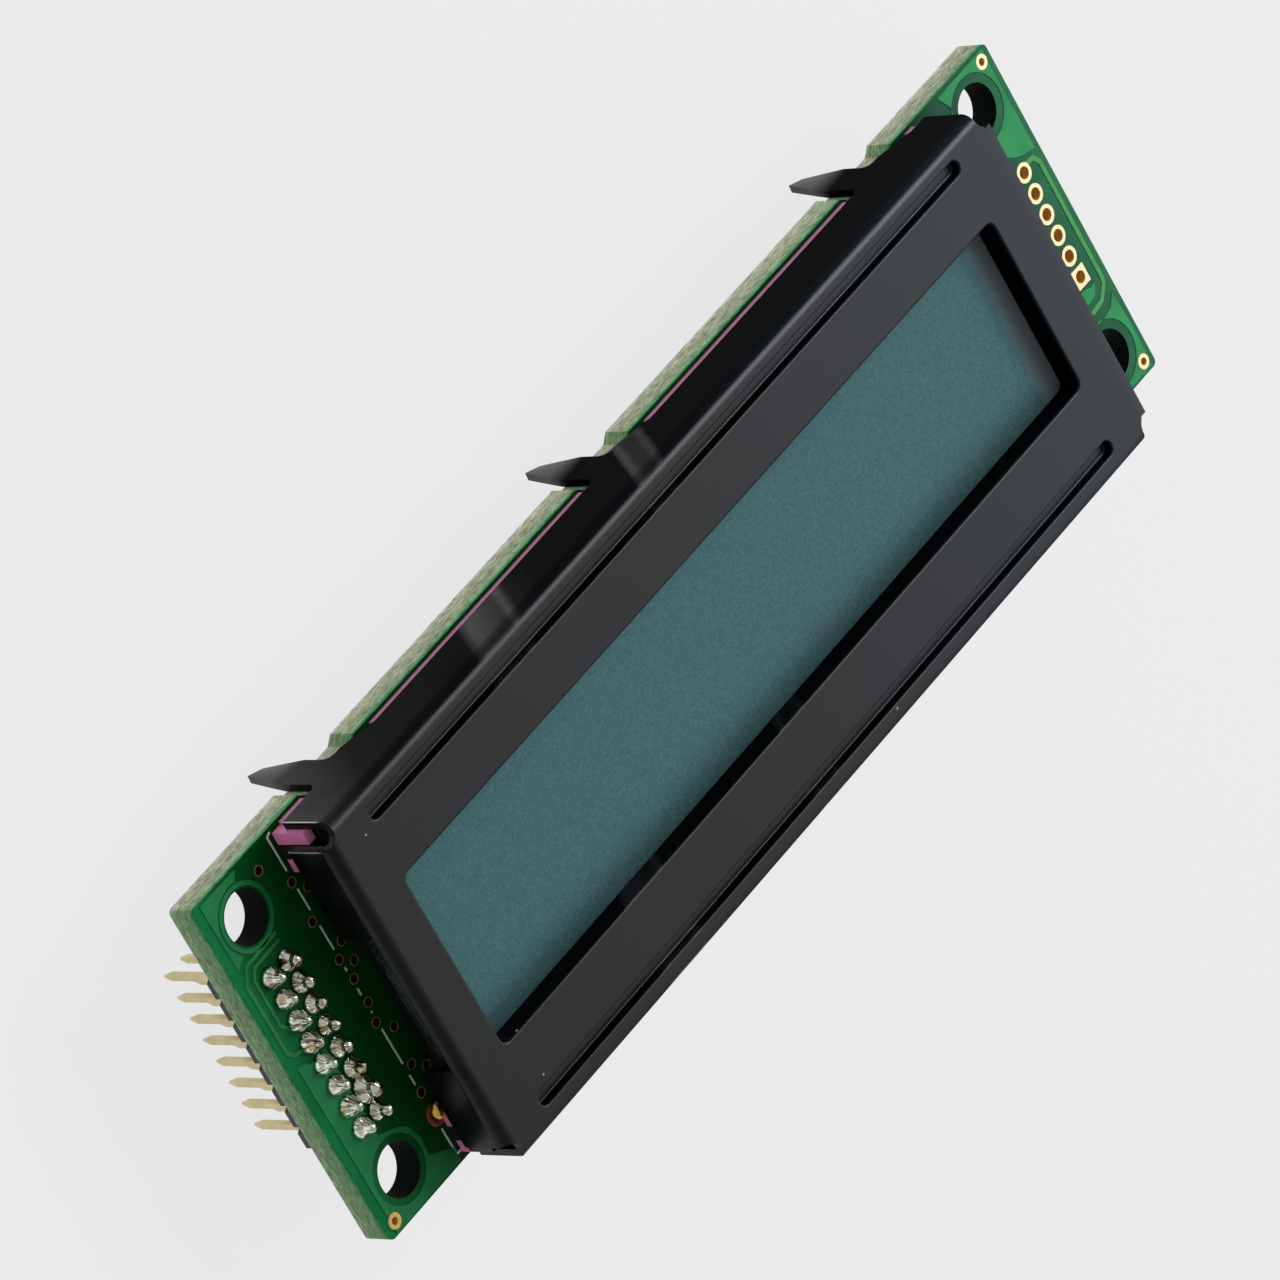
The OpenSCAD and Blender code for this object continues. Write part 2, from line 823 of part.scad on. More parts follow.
// A solder cone round a pin, and the solder that fills the hole below it
module solder_joint(i) {
    color("#b9b6ae")
        translate([pin_place(i)[0], pin_place(i)[1], 0])
            difference() {
                union() {
                    cylinder(d1 = joint_diameter, d2 = joint_top_diameter, h = joint_height, $fn = small_curve);
                    translate([0, 0, board_back])
                        cylinder(d = pin_hole_diameter, h = board_thickness + overlap, $fn = small_curve);
                }
                translate([0, 0, board_back - through])
                    block(pin_side, pin_side, board_thickness + joint_height + 2 * through);
            }
}

// A plated hole: copper rings on both sides joined by the hole's lining
module sleeve(bore, ring, facets) {
    lining = bore / 2 + plating_wall;
    back = board_back - copper_height;
    rotate_extrude($fn = facets)
        polygon([
            [bore / 2, back],
            [ring / 2, back],
            [ring / 2, board_back],
            [lining, board_back],
            [lining, 0],
            [ring / 2, 0],
            [ring / 2, copper_height],
            [bore / 2, copper_height]
        ]);
}

// An open pad. The last one is square, to mark the end of the row.
module pad_sleeve(i) {
    color("#f0cf83")
        translate([pad_place(i)[0], pad_place(i)[1], 0]) {
            sleeve(pad_bore, pad_diameter, small_curve);
            if (i == pad_count)
                difference() {
                    block(pad_diameter, pad_diameter, copper_height);
                    translate([0, 0, -through])
                        cylinder(d = pad_bore + plating_wall, h = 2 * through, $fn = small_curve);
                }
        }
}

module tooling_sleeves() {
    color("#f0cf83")
        for (place = tooling_places)
            translate([place[0], place[1], 0])
                sleeve(tooling_bore, tooling_diameter, small_curve);
}

// Vias are plain tubes, flush with the board: the cell and the strips lie over some
module via_sleeves() {
    color("#9a5a2a")
        for (place = via_places)
            translate([place[0], place[1], board_back])
                difference() {
                    cylinder(d = via_diameter, h = board_thickness, $fn = small_curve);
                    translate([0, 0, -through])
                        cylinder(d = via_bore, h = board_thickness + 2 * through, $fn = small_curve);
                }
}

// The ball of solder that has run into the last via, cut off by the board
module solder_bead() {
    color("#c9a75a")
        translate([bead_place[0], bead_place[1], 0])
            intersection() {
                translate([0, 0, bead_height - bead_diameter / 2])
                    sphere(d = bead_diameter, $fn = small_curve);
                block(bead_diameter, bead_diameter, bead_height + through);
            }
}

// An epoxy cover over a driver chip on the back: a flat drop with a round edge
module driver_cover(side) {
    flat_radius = cover_diameter / 2 - cover_height;
    color("#121212")
        translate([side * cover_spacing / 2, 0, board_back])
            rotate_extrude($fn = curve) {
                translate([0, -cover_height])
                    square([flat_radius, cover_height]);
                translate([flat_radius, 0])
                    intersection() {
                        circle(r = cover_height, $fn = curve);
                        translate([0, -cover_height])
                            square(cover_height);
                    }
            }
}

// A chip part under the board, lengthways along X
module chip_part(place) {
    translate([place[0], place[1], board_back - chip_height])
        block(chip_length, chip_width, chip_height);
}

module bias_resistors() {
    color("#1c1c1e")
        for (i = [0:chip_count - 1])
            chip_part([chip_x, (i - (chip_count - 1) / 2) * chip_spacing]);
}

module supply_capacitor() {
    color("#a98f6a")
        chip_part([-chip_x, 0]);
}

circuit_board();
bezel();
front_polarizer();
front_glass();
rear_glass();
rear_polarizer();
reflector_film();
display_frame();
cell_end_seal();
for (side = side_names)
    contact_rubber(side);
for (side = side_names)
    contact_core(side);
header_housing();
for (i = [1:pin_count])
    header_pin(i);
for (i = [1:pin_count])
    solder_joint(i);
for (i = [1:pad_count])
    pad_sleeve(i);
tooling_sleeves();
via_sleeves();
solder_bead();
driver_cover(-1);  // driver_cover_1
driver_cover(1);  // driver_cover_2
bias_resistors();
supply_capacitor();
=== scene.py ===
"""Looks of the character LCD module: materials for every solid of the frame, and the
small formed pieces that the eye reads on the real one, such as the solder cones,
the copper shapes under the mask, the printed outline and the rings of the vias."""

import math

import bpy
from mathutils import Matrix, Vector


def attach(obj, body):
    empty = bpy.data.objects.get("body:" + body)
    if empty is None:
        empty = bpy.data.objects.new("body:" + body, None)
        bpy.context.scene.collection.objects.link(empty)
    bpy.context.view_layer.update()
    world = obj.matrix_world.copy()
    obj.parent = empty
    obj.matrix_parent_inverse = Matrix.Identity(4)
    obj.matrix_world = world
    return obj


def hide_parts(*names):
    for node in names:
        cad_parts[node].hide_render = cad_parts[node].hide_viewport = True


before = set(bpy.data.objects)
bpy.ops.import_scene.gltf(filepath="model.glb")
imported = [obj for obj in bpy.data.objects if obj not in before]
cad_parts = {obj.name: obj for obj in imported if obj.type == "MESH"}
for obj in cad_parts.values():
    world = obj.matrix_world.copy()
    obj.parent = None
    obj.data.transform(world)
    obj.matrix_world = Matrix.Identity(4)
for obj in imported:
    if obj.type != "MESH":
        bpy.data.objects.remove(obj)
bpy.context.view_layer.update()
scene = bpy.context.scene
MM = 0.001

# Places, in mm

BOARD_END, BOARD_THICKNESS = 33.3, 1.6
BEZEL_END, BEZEL_SIDE, BEZEL_FACE, BEZEL_FOLD = 27.8, 9.88, 3.85, 0.65
FIXING_X, FIXING_Y = 30.85, 7.5
TOOLING_X, TOOLING_Y = 32.55, 9.15
HEADER_COLUMNS, HEADER_PITCH, HEADER_ROWS = (-31.47, -30.20), 1.27, 8
VIAS = [
    (-28.95, 8.65), (-27.7, 6.95), (-27.05, 6.2), (-27.85, 4.75), (-27.0, 2.95),
    (-27.65, 2.35), (-26.95, 1.75), (-27.5, 1.1), (-27.5, -0.3), (-27.7, -1.35),
    (-26.95, -2.2), (-27.2, -4.25), (-26.5, -4.9), (-27.55, -5.65),
]
BEAD = (-27.67, -6.9)


# Modelling helpers


def start():
    """Leaves nothing selected, so that the next operator acts on its own piece."""
    if bpy.context.object and bpy.context.object.mode != "OBJECT":
        bpy.ops.object.mode_set(mode="OBJECT")
    bpy.ops.object.select_all(action="DESELECT")


def pick(piece):
    """Selects one piece and nothing else."""
    start()
    piece.select_set(True)
    bpy.context.view_layer.objects.active = piece


def edit_all():
    """Opens the picked piece with all of its mesh selected."""
    bpy.ops.object.mode_set(mode="EDIT")
    bpy.ops.mesh.select_all(action="SELECT")


def clean_mesh(piece, smooth=30):
    """Joins doubled points, turns the faces outwards and shades by angle in degrees."""
    pick(piece)
    edit_all()
    bpy.ops.mesh.remove_doubles(threshold=1e-6)
    bpy.ops.mesh.normals_make_consistent(inside=False)
    bpy.ops.object.mode_set(mode="OBJECT")
    bpy.ops.object.transform_apply(location=True, rotation=True, scale=True)
    bpy.ops.object.shade_smooth_by_angle(angle=math.radians(smooth))
    return piece


def finish_piece(piece, material):
    """Gives a finished piece its material and the slot it belongs to."""
    piece.data.materials.clear()
    piece.data.materials.append(material)
    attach(piece, "root")


def new_object(name, data):
    piece = bpy.data.objects.new(name, data)
    scene.collection.objects.link(piece)
    return piece


def as_mesh(name, curve, height=0.0):
    """Turns a curve into a mesh piece at a height in metres."""
    piece = new_object(name, curve)
    piece.location.z = height
    pick(piece)
    bpy.ops.object.convert(target="MESH")
    return bpy.context.object


def plate(name, outlines, bottom, top):
    """A flat piece cut to closed outlines in mm; an outline within another one is an opening."""
    sheet = bpy.data.curves.new(name, "CURVE")
    sheet.dimensions, sheet.fill_mode = "2D", "BOTH"
    sheet.extrude = (top - bottom) / 2 * MM
    for outline in outlines:
        spline = sheet.splines.new("POLY")
        spline.points.add(len(outline) - 1)
        for point, (x, y) in zip(spline.points, outline):
            point.co = (x * MM, y * MM, 0, 1)
        spline.use_cyclic_u = True
    return clean_mesh(as_mesh(name, sheet, (top + bottom) / 2 * MM))


def circle(x, y, radius, steps=32):
    turns = [2 * math.pi * i / steps for i in range(steps)]
    return [(x + radius * math.cos(turn), y + radius * math.sin(turn)) for turn in turns]


def line_outline(points, width):
    """Outline of a printed or etched line of one width, with mitred corners."""
    left, right = [], []
    for i, here in enumerate(points):
        before = Vector(points[max(i - 1, 0)])
        after = Vector(points[min(i + 1, len(points) - 1)])
        here = Vector(here)
        into = (here - before).normalized() if i else (after - here).normalized()
        out = (after - here).normalized() if i < len(points) - 1 else into
        side_in, side_out = Vector((-into.y, into.x)), Vector((-out.y, out.x))
        miter = (side_in + side_out).normalized()
        reach = width / 2 / max(miter.dot(side_in), 0.5)
        left.append(tuple(here + miter * reach))
        right.append(tuple(here - miter * reach))
    return left + right[::-1]


def join(pieces, name):
    pick(pieces[0])
    for piece in pieces[1:]:
        piece.select_set(True)
    bpy.ops.object.join()
    pieces[0].name = name
    return pieces[0]


def copy_of(piece, name):
    """A copy with its own mesh."""
    twin = piece.copy()
    twin.data = piece.data.copy()
    twin.name = name
    scene.collection.objects.link(twin)
    return twin


def swell(piece, name, grain, strength):
    """Puts low lumps on a piece, their grain and strength in mm; the modifier is left live."""
    lumps = bpy.data.textures.new(name + "_lumps", "CLOUDS")
    lumps.noise_scale = grain * MM
    swelling = piece.modifiers.new("swell", "DISPLACE")
    swelling.texture, swelling.texture_coords = lumps, "LOCAL"
    swelling.strength, swelling.mid_level = strength * MM, 0.5


# Material helpers


def paint(value):
    """sRGB hex to the linear colour that a socket takes."""
    parts = [int(value[i : i + 2], 16) / 255 for i in (1, 3, 5)]
    return tuple(c / 12.92 if c <= 0.04045 else ((c + 0.055) / 1.055) ** 2.4 for c in parts) + (1,)


def per_mm(millimetres):
    """Texture scale whose pattern repeats at about this many millimetres."""
    return 1 / (millimetres * MM)


def node(tree, kind, inputs=(), stops=(), **settings):
    """Adds one node and gives its outputs. An input is a value, or the output that is linked to
    it; they come in order or by socket. Stops are the positions and hex colours of a ramp."""
    made = tree.nodes.new("ShaderNode" + kind)
    for key, value in settings.items():
        setattr(made, key, value)
    for socket, value in inputs.items() if isinstance(inputs, dict) else enumerate(inputs):
        if isinstance(value, bpy.types.NodeSocket):
            tree.links.new(value, made.inputs[socket])
        else:
            made.inputs[socket].default_value = value
    if stops:
        elements = made.color_ramp.elements
        while len(elements) < len(stops):
            elements.new(1.0)
        for element, (position, colour) in zip(elements, stops):
            element.position, element.color = position, paint(colour)
    return made.outputs


def new_surface(name, **sockets):
    """An empty material: its tree, its Principled shader and the object coordinates."""
    material = bpy.data.materials.new(name)
    material.use_nodes = True
    tree = material.node_tree
    shader = tree.nodes["Principled BSDF"]
    for socket, value in sockets.items():
        shader.inputs[socket.replace("_", " ")].default_value = value
    return material, tree, shader, node(tree, "TexCoord")["Object"]


def feed(tree, shader, **sockets):
    """Links what was made to the sockets of the shader."""
    for socket, output in sockets.items():
        tree.links.new(output, shader.inputs[socket.replace("_", " ")])


# Materials

# A MapRange takes its value, then from where to where, then to what. A Mix takes its factor at
# socket 0, two colours at 6 and 7 or two plain values at 2 and 3, and gives colours at 2
MASK_GLOSS = {"IOR": 1.5, "Specular_IOR_Level": 0.06}
MASK_ROUGHNESS = 0.24


def solder_mask(name, header_end, bezel_shade, pad_end, mottle):
    """Liquid green solder mask, screened over copper and cured: a glossy, slightly wavy green
    skin. The eye sees it lighter than over bare laminate, and lightest towards the pads; next to
    the bezel a painted shade of the bezel darkens it."""
    material, tree, shader, place = new_surface(name, Roughness=MASK_ROUGHNESS, **MASK_GLOSS)
    spot = node(tree, "SeparateXYZ", [place])
    run = node(tree, "MapRange", [spot["X"], -BOARD_END * MM, BOARD_END * MM])[0]
    # Along the board; the middle stop is a painted shade of the bezel
    green = node(tree, "ValToRGB", [run], stops=[
        (0.0, header_end), (0.03, header_end), (0.078, bezel_shade), (0.9, pad_end), (1.0, pad_end),
    ])[0]
    mottling = {"Vector": place, "Scale": per_mm(mottle), "Detail": 4.0, "Roughness": 0.6}
    cloud = node(tree, "TexNoise", mottling)["Fac"]
    dense = node(tree, "MapRange", [cloud, 0.3, 0.7, 0.82, 1.15])[0]
    tone = node(tree, "VectorMath", {0: green, "Scale": dense}, operation="SCALE")[0]
    wave = node(tree, "TexNoise", {"Vector": place, "Scale": per_mm(0.9), "Detail": 3.0})["Fac"]
    relief = node(tree, "Bump", {"Height": wave, "Strength": 0.25, "Distance": 0.03 * MM})[0]
    feed(tree, shader, Base_Color=tone, Normal=relief)
    return material


def laminate():
    """Glass-epoxy board under green mask. The eye sees the mask's green on the faces, and on the sawn
    edges the pale glass cloth in fine layers, greyer to the back, with the green of the mask soaked
    into the front. Painted shade darkens the top next to the bezel and makes the bored holes nearly
    black."""
    material, tree, shader, place = new_surface("glass_epoxy_board", **MASK_GLOSS)
    spot = node(tree, "SeparateXYZ", [place])
    facing = node(tree, "SeparateXYZ", [node(tree, "NewGeometry")["True Normal"]])
    # Along the board: bright outer strip, ground darkened next to the bezel by painted shade of the bezel,
    # greyer green at the pads
    run = node(tree, "MapRange", [spot["X"], -BOARD_END * MM, BOARD_END * MM])[0]
    ground = node(tree, "ValToRGB", [run], stops=[
        (0.0, "#0c7440"), (0.012, "#0b6838"), (0.025, "#08562b"), (0.05, "#054a1e"),
        (0.075, "#033a14"), (0.9, "#0d3a22"), (0.95, "#2c5c48"), (1.0, "#31704e"),
    ])[0]
    mottling = {"Vector": place, "Scale": per_mm(4.0), "Detail": 4.0, "Roughness": 0.6}
    cloud = node(tree, "TexNoise", mottling)["Fac"]
    dense = node(tree, "MapRange", [cloud, 0.3, 0.7, 0.75, 1.2])[0]
    green = node(tree, "VectorMath", {0: ground, "Scale": dense}, operation="SCALE")[0]
    # Cloth: streaks 0.5 mm long and about 0.1 mm thick, over the tones of the layers
    streaks = {"Scale": (per_mm(0.5), per_mm(0.5), per_mm(0.1)), "Rotation": (0.0, 0.1, 0.0)}
    stretched = node(tree, "Mapping", {"Vector": place, **streaks})[0]
    weave = {"Vector": stretched, "Scale": 1.0, "Detail": 6.0, "Roughness": 0.75}
    cloth = node(tree, "TexNoise", weave)["Fac"]
    depth = node(tree, "MapRange", [spot["Z"], -BOARD_THICKNESS * MM, 0.0])[0]
    layers = node(tree, "ValToRGB", [depth], stops=[
        (0.0, "#d9dcd2"), (0.12, "#c6cfb5"), (0.31, "#c0c5a3"), (0.5, "#b3bd9e"),
        (0.7, "#a9ba9a"), (0.83, "#9cba97"), (0.9, "#63a86c"), (1.0, "#258242"),
    ])[0]
    bright = node(tree, "MapRange", [cloth, 0.32, 0.68, 0.25, 1.5])[0]
    edge = node(tree, "VectorMath", {0: layers, "Scale": bright}, operation="SCALE")[0]
    # The header's end was routed cleaner and is greener
    end_face = node(tree, "Math", [facing["X"], -0.5], operation="LESS_THAN")[0]
    greener = {0: end_face, 6: paint("#ffffff"), 7: paint("#c6e7d0")}
    routed = node(tree, "Mix", greener, data_type="RGBA")[2]
    edge = node(tree, "VectorMath", [edge, routed], operation="MULTIPLY")[0]
    # The four fixing holes, by their distance in one quarter of the board; painted shade makes their walls
    # nearly black
    along = node(tree, "Math", [spot["X"]], operation="ABSOLUTE")[0]
    across = node(tree, "Math", [spot["Y"]], operation="ABSOLUTE")[0]
    quarter = node(tree, "CombineXYZ", [along, across])[0]
    fixing = (FIXING_X * MM, FIXING_Y * MM, 0)
    reach = node(tree, "VectorMath", [quarter, fixing], operation="DISTANCE")["Value"]
    hole_shade_mask = node(tree, "Math", [reach, 1.5 * MM], operation="LESS_THAN")[0]
    wall = node(tree, "Mix", {0: hole_shade_mask, 6: edge, 7: paint("#06120d")}, data_type="RGBA")[2]
    flat = node(tree, "Math", [facing["Z"]], operation="ABSOLUTE")[0]
    side = node(tree, "Math", [flat, 0.5], operation="LESS_THAN")[0]
    tone = node(tree, "Mix", {0: side, 6: green, 7: wall}, data_type="RGBA")[2]
    rough = node(tree, "MapRange", [side, 0.0, 1.0, MASK_ROUGHNESS, 0.75])[0]
    wave = node(tree, "TexNoise", {"Vector": place, "Scale": per_mm(0.9), "Detail": 3.0})["Fac"]
    height = node(tree, "Mix", {0: side, 2: wave, 3: cloth})[0]
    relief = node(tree, "Bump", {"Height": height, "Strength": 0.25, "Distance": 0.03 * MM})[0]
    feed(tree, shader, Base_Color=tone, Roughness=rough, Normal=relief)
    return material


def black_enamel():
    """Black baked enamel on pressed steel sheet. The eye sees a satin blue-black face under a thin
    gloss, almost black walls where the baking left the coat matt, and rubbed patches on them.
    Painted light makes the face's colour lighter than the walls' and lighter still towards +X."""
    gloss = {"Roughness": 0.6, "Specular_IOR_Level": 0.0, "Coat_IOR": 1.5, "Coat_Roughness": 0.3}
    material, tree, shader, place = new_surface("black_enamel_on_steel", **gloss)
    spot = node(tree, "SeparateXYZ", [place])
    facing = node(tree, "SeparateXYZ", [node(tree, "NewGeometry")["Normal"]])
    level = node(tree, "Math", [facing["Z"]], operation="ABSOLUTE")[0]
    tones_end = 28.0 * MM
    # Painted light: the face's colour lightens towards +X and stays lighter than the walls'
    run = node(tree, "MapRange", [spot["X"], -tones_end, tones_end])[0]
    blued_and_lit_face = node(tree, "ValToRGB", [run], stops=[(0.0, "#020409"), (0.5, "#080c13"), (1.0, "#1b242d")])[0]
    tone = node(tree, "Mix", {0: level, 6: paint("#040405"), 7: blued_and_lit_face}, data_type="RGBA")[2]
    glossy = node(tree, "MapRange", [level, 0.84, 0.985, 0.06, 0.9])[0]
    tips = node(tree, "MapRange", [spot["Z"], -1.2 * MM, -2.6 * MM, 0.0, 0.9])[0]
    # Rubbed bands lean across the long walls where fixtures held them; a few are faint
    lean = node(tree, "Math", [spot["Z"], 0.7, spot["X"]], operation="MULTIPLY_ADD")[0]
    lean = node(tree, "MapRange", [lean, -tones_end, tones_end])[0]
    bands = node(tree, "ValToRGB", [lean], stops=[
        (0.0, "#ffffff"), (0.12, "#747474"), (0.25, "#5c5c5c"), (0.277, "#585858"), (0.29, "#f0f0f0"),
        (0.325, "#b0b0b0"), (0.333, "#f8f8f8"), (0.341, "#707070"), (0.367, "#585858"), (0.382, "#000000"),
        (0.511, "#000000"), (0.518, "#e0e0e0"), (0.526, "#989898"), (0.54, "#909090"), (0.546, "#c8c8c8"),
        (0.555, "#000000"),
    ])[0]
    smears = {"Vector": place, "Scale": per_mm(7.0), "Detail": 5.0, "Roughness": 0.65}
    smudge = node(tree, "TexNoise", smears)["Fac"]
    worn = node(tree, "MapRange", [smudge, 0.25, 0.5, 0.45, 0.8])[0]
    rubbed = node(tree, "Math", [bands, worn], operation="MULTIPLY")[0]
    # Lint: here and there a pale speck
    motes = node(tree, "TexVoronoi", {"Vector": place, "Scale": per_mm(1.7)})
    draw = node(tree, "SeparateColor", [motes["Color"]])[0]
    chosen = node(tree, "Math", [draw, 0.955], operation="GREATER_THAN")[0]
    near = node(tree, "Math", [motes["Distance"], 0.045], operation="LESS_THAN")[0]
    speck = node(tree, "Math", [chosen, near], operation="MULTIPLY")[0]
    tone = node(tree, "Mix", {0: speck, 6: tone, 7: paint("#8d9194")}, data_type="RGBA")[2]
    coat = node(tree, "Math", [glossy, tips], operation="MAXIMUM")[0]
    coat = node(tree, "Math", [coat, rubbed], operation="MAXIMUM")[0]
    peel = node(tree, "TexNoise", {"Vector": place, "Scale": per_mm(0.12), "Detail": 3.0})["Fac"]
    relief = node(tree, "Bump", {"Height": peel, "Strength": 0.12, "Distance": 0.01 * MM})[0]
    feed(tree, shader, Base_Color=tone, Coat_Weight=coat, Normal=relief, Coat_Normal=relief)
    return material


def grained(name, light, dark, grain, roughness, depth=0.01, **sockets):
    """A surface of one stuff whose tone and height wander at one grain size."""
    material, tree, shader, place = new_surface(name, Roughness=roughness, **sockets)
    grit = {"Vector": place, "Scale": per_mm(grain), "Detail": 5.0, "Roughness": 0.65}
    grains = node(tree, "TexNoise", grit)["Fac"]
    spread = node(tree, "MapRange", [grains, 0.3, 0.7])[0]
    tone = node(tree, "Mix", {0: spread, 6: paint(dark), 7: paint(light)}, data_type="RGBA")[2]
    relief = node(tree, "Bump", {"Height": grains, "Strength": 0.4, "Distance": depth * MM})[0]
    feed(tree, shader, Base_Color=tone, Normal=relief)
    return material


def polarizing_film():
    """Polarizing film over the liquid crystal. The eye sees a matt grey-green teal with a fine
    sparkle of grain; a painted shade of the window's wall makes it grey, then bluish, along two
    sides, and a painted reflection of the end wall greys it close under that wall."""
    gloss = {"Roughness": 0.4, "IOR": 1.5, "Specular_IOR_Level": 0.2}
    material, tree, shader, place = new_surface("polarizing_film", **gloss)
    sparkle = {"Vector": place, "Scale": per_mm(0.13), "Detail": 2.0, "Roughness": 0.8}
    grain = node(tree, "TexNoise", sparkle)["Fac"]
    spread = node(tree, "MapRange", [grain, 0.3, 0.7])[0]
    teal = node(tree, "Mix", {0: spread, 6: paint("#2f595f"), 7: paint("#487275")}, data_type="RGBA")[2]
    # Distance from the window's -Y wall and from its +X wall, the nearer counting
    spot = node(tree, "SeparateXYZ", [place])
    from_side = node(tree, "MapRange", [spot["Y"], -5.0 * MM, -1.0 * MM])[0]
    from_end = node(tree, "MapRange", [spot["X"], 24.9 * MM, 21.2 * MM])[0]
    nearer = node(tree, "Math", [from_side, from_end], operation="MINIMUM")[0]
    shade = node(tree, "ValToRGB", [nearer], stops=[
        (0.0, "#c0b8b5"), (0.2, "#d0cac8"), (0.3, "#e0e1e8"), (0.5, "#f8f9fd"), (0.75, "#ffffff"),
    ])[0]
    tone = node(tree, "Mix", {0: 1.0, 6: teal, 7: shade}, data_type="RGBA", blend_type="MULTIPLY")[2]
    # Painted reflection of the end wall: a dull grey close under it
    end_wall_reflection = node(tree, "MapRange", [spot["X"], 23.3 * MM, 24.4 * MM, 0.0, 0.9])[0]
    tone = node(tree, "Mix", {0: end_wall_reflection, 6: tone, 7: paint("#666d70")}, data_type="RGBA")[2]
    relief = node(tree, "Bump", {"Height": grain, "Strength": 0.15, "Distance": 0.01 * MM})[0]
    feed(tree, shader, Base_Color=tone, Normal=relief)
    return material


def tin_solder():
    """Hand-soldered tin drawn up the pins. The eye sees a mirror broken into dark and bright
    streaks that run from the foot to the tip, with tan glints of old flux; the streaks are
    painted reflections in the metal's colour. The mesh's UV layer holds the turn round the pin
    and the way up it, in turns and in mm."""
    material, tree, shader, place = new_surface("tin_solder", Metallic=1.0)
    drawn = node(tree, "SeparateXYZ", [node(tree, "UVMap", uv_map="drawn")["UV"]])
    turn = node(tree, "Math", [drawn["X"], 2 * math.pi], operation="MULTIPLY")[0]
    east = node(tree, "Math", [turn], operation="COSINE")[0]
    north = node(tree, "Math", [turn], operation="SINE")[0]
    round_pin = node(tree, "CombineXYZ", [east, north, drawn["Y"]])[0]
    stretched = node(tree, "Mapping", {"Vector": round_pin, "Scale": (1.5, 1.5, 0.4)})[0]
    # Each joint takes its own part of the pattern from its place on the board
    pitches = {0: place, "Scale": per_mm(HEADER_PITCH)}
    counted = node(tree, "VectorMath", pitches, operation="SCALE")[0]
    own = node(tree, "VectorMath", [counted], operation="FLOOR")[0]
    shifted = node(tree, "VectorMath", [own, (7.0, 5.0, 0.0), stretched], operation="MULTIPLY_ADD")[0]
    drag = {"Vector": shifted, "Scale": 1.0, "Detail": 3.0, "Roughness": 0.6, "Distortion": 0.3}
    ripple = node(tree, "TexNoise", drag)["Fac"]
    # Painted reflections: dark brown and near-white streaks in the metal's colour
    painted_reflections = node(tree, "ValToRGB", [ripple], stops=[
        (0.36, "#2a1a14"), (0.42, "#8b8c7e"), (0.49, "#fbfdf2"), (0.58, "#d3d7c5"), (0.63, "#3c372e"),
        (0.7, "#eceee2"),
    ])[0]
    flux = node(tree, "TexNoise", {"Vector": place, "Scale": per_mm(0.45), "Detail": 2.0})["Fac"]
    tan = node(tree, "MapRange", [flux, 0.58, 0.66, 0.0, 0.7])[0]
    tone = node(tree, "Mix", {0: tan, 6: painted_reflections, 7: paint("#c9a35a")}, data_type="RGBA")[2]
    rough = node(tree, "MapRange", [flux, 0.3, 0.75, 0.08, 0.3])[0]
    relief = node(tree, "Bump", {"Height": ripple, "Strength": 0.6, "Distance": 0.05 * MM})[0]
    feed(tree, shader, Base_Color=tone, Roughness=rough, Normal=relief)
    return material


def plated_bore(name, face, face_worn, bore, bore_deep):
    """Gold flashed over copper. The eye sees creamy gold on the flat ring, and down the bore the
    orange-brown of thin plating."""
    material, tree, shader, place = new_surface(name)
    facing = node(tree, "SeparateXYZ", [node(tree, "NewGeometry")["True Normal"]])
    flat = node(tree, "Math", [facing["Z"]], operation="ABSOLUTE")[0]
    grain = node(tree, "TexNoise", {"Vector": place, "Scale": per_mm(0.2), "Detail": 4.0})["Fac"]
    ring = node(tree, "Mix", {0: grain, 6: paint(face), 7: paint(face_worn)}, data_type="RGBA")[2]
    down = node(tree, "Mix", {0: grain, 6: paint(bore), 7: paint(bore_deep)}, data_type="RGBA")[2]
    # Older, yellower gold towards the header
    spot = node(tree, "SeparateXYZ", [place])
    old_end = 20.0 * MM
    run = node(tree, "MapRange", [spot["X"], -old_end, old_end])[0]
    yellower = {0: run, 6: paint("#e7c895"), 7: paint("#ffffff")}
    aged = node(tree, "Mix", yellower, data_type="RGBA")[2]
    ring = node(tree, "Mix", {0: 1.0, 6: ring, 7: aged}, data_type="RGBA", blend_type="MULTIPLY")[2]
    tone = node(tree, "Mix", {0: flat, 6: down, 7: ring}, data_type="RGBA")[2]
    rough = node(tree, "MapRange", [flat, 0.0, 1.0, 0.45, 0.34])[0]
    relief = node(tree, "Bump", {"Height": grain, "Strength": 0.3, "Distance": 0.01 * MM})[0]
    feed(tree, shader, Base_Color=tone, Metallic=flat, Roughness=rough, Normal=relief)
    return material


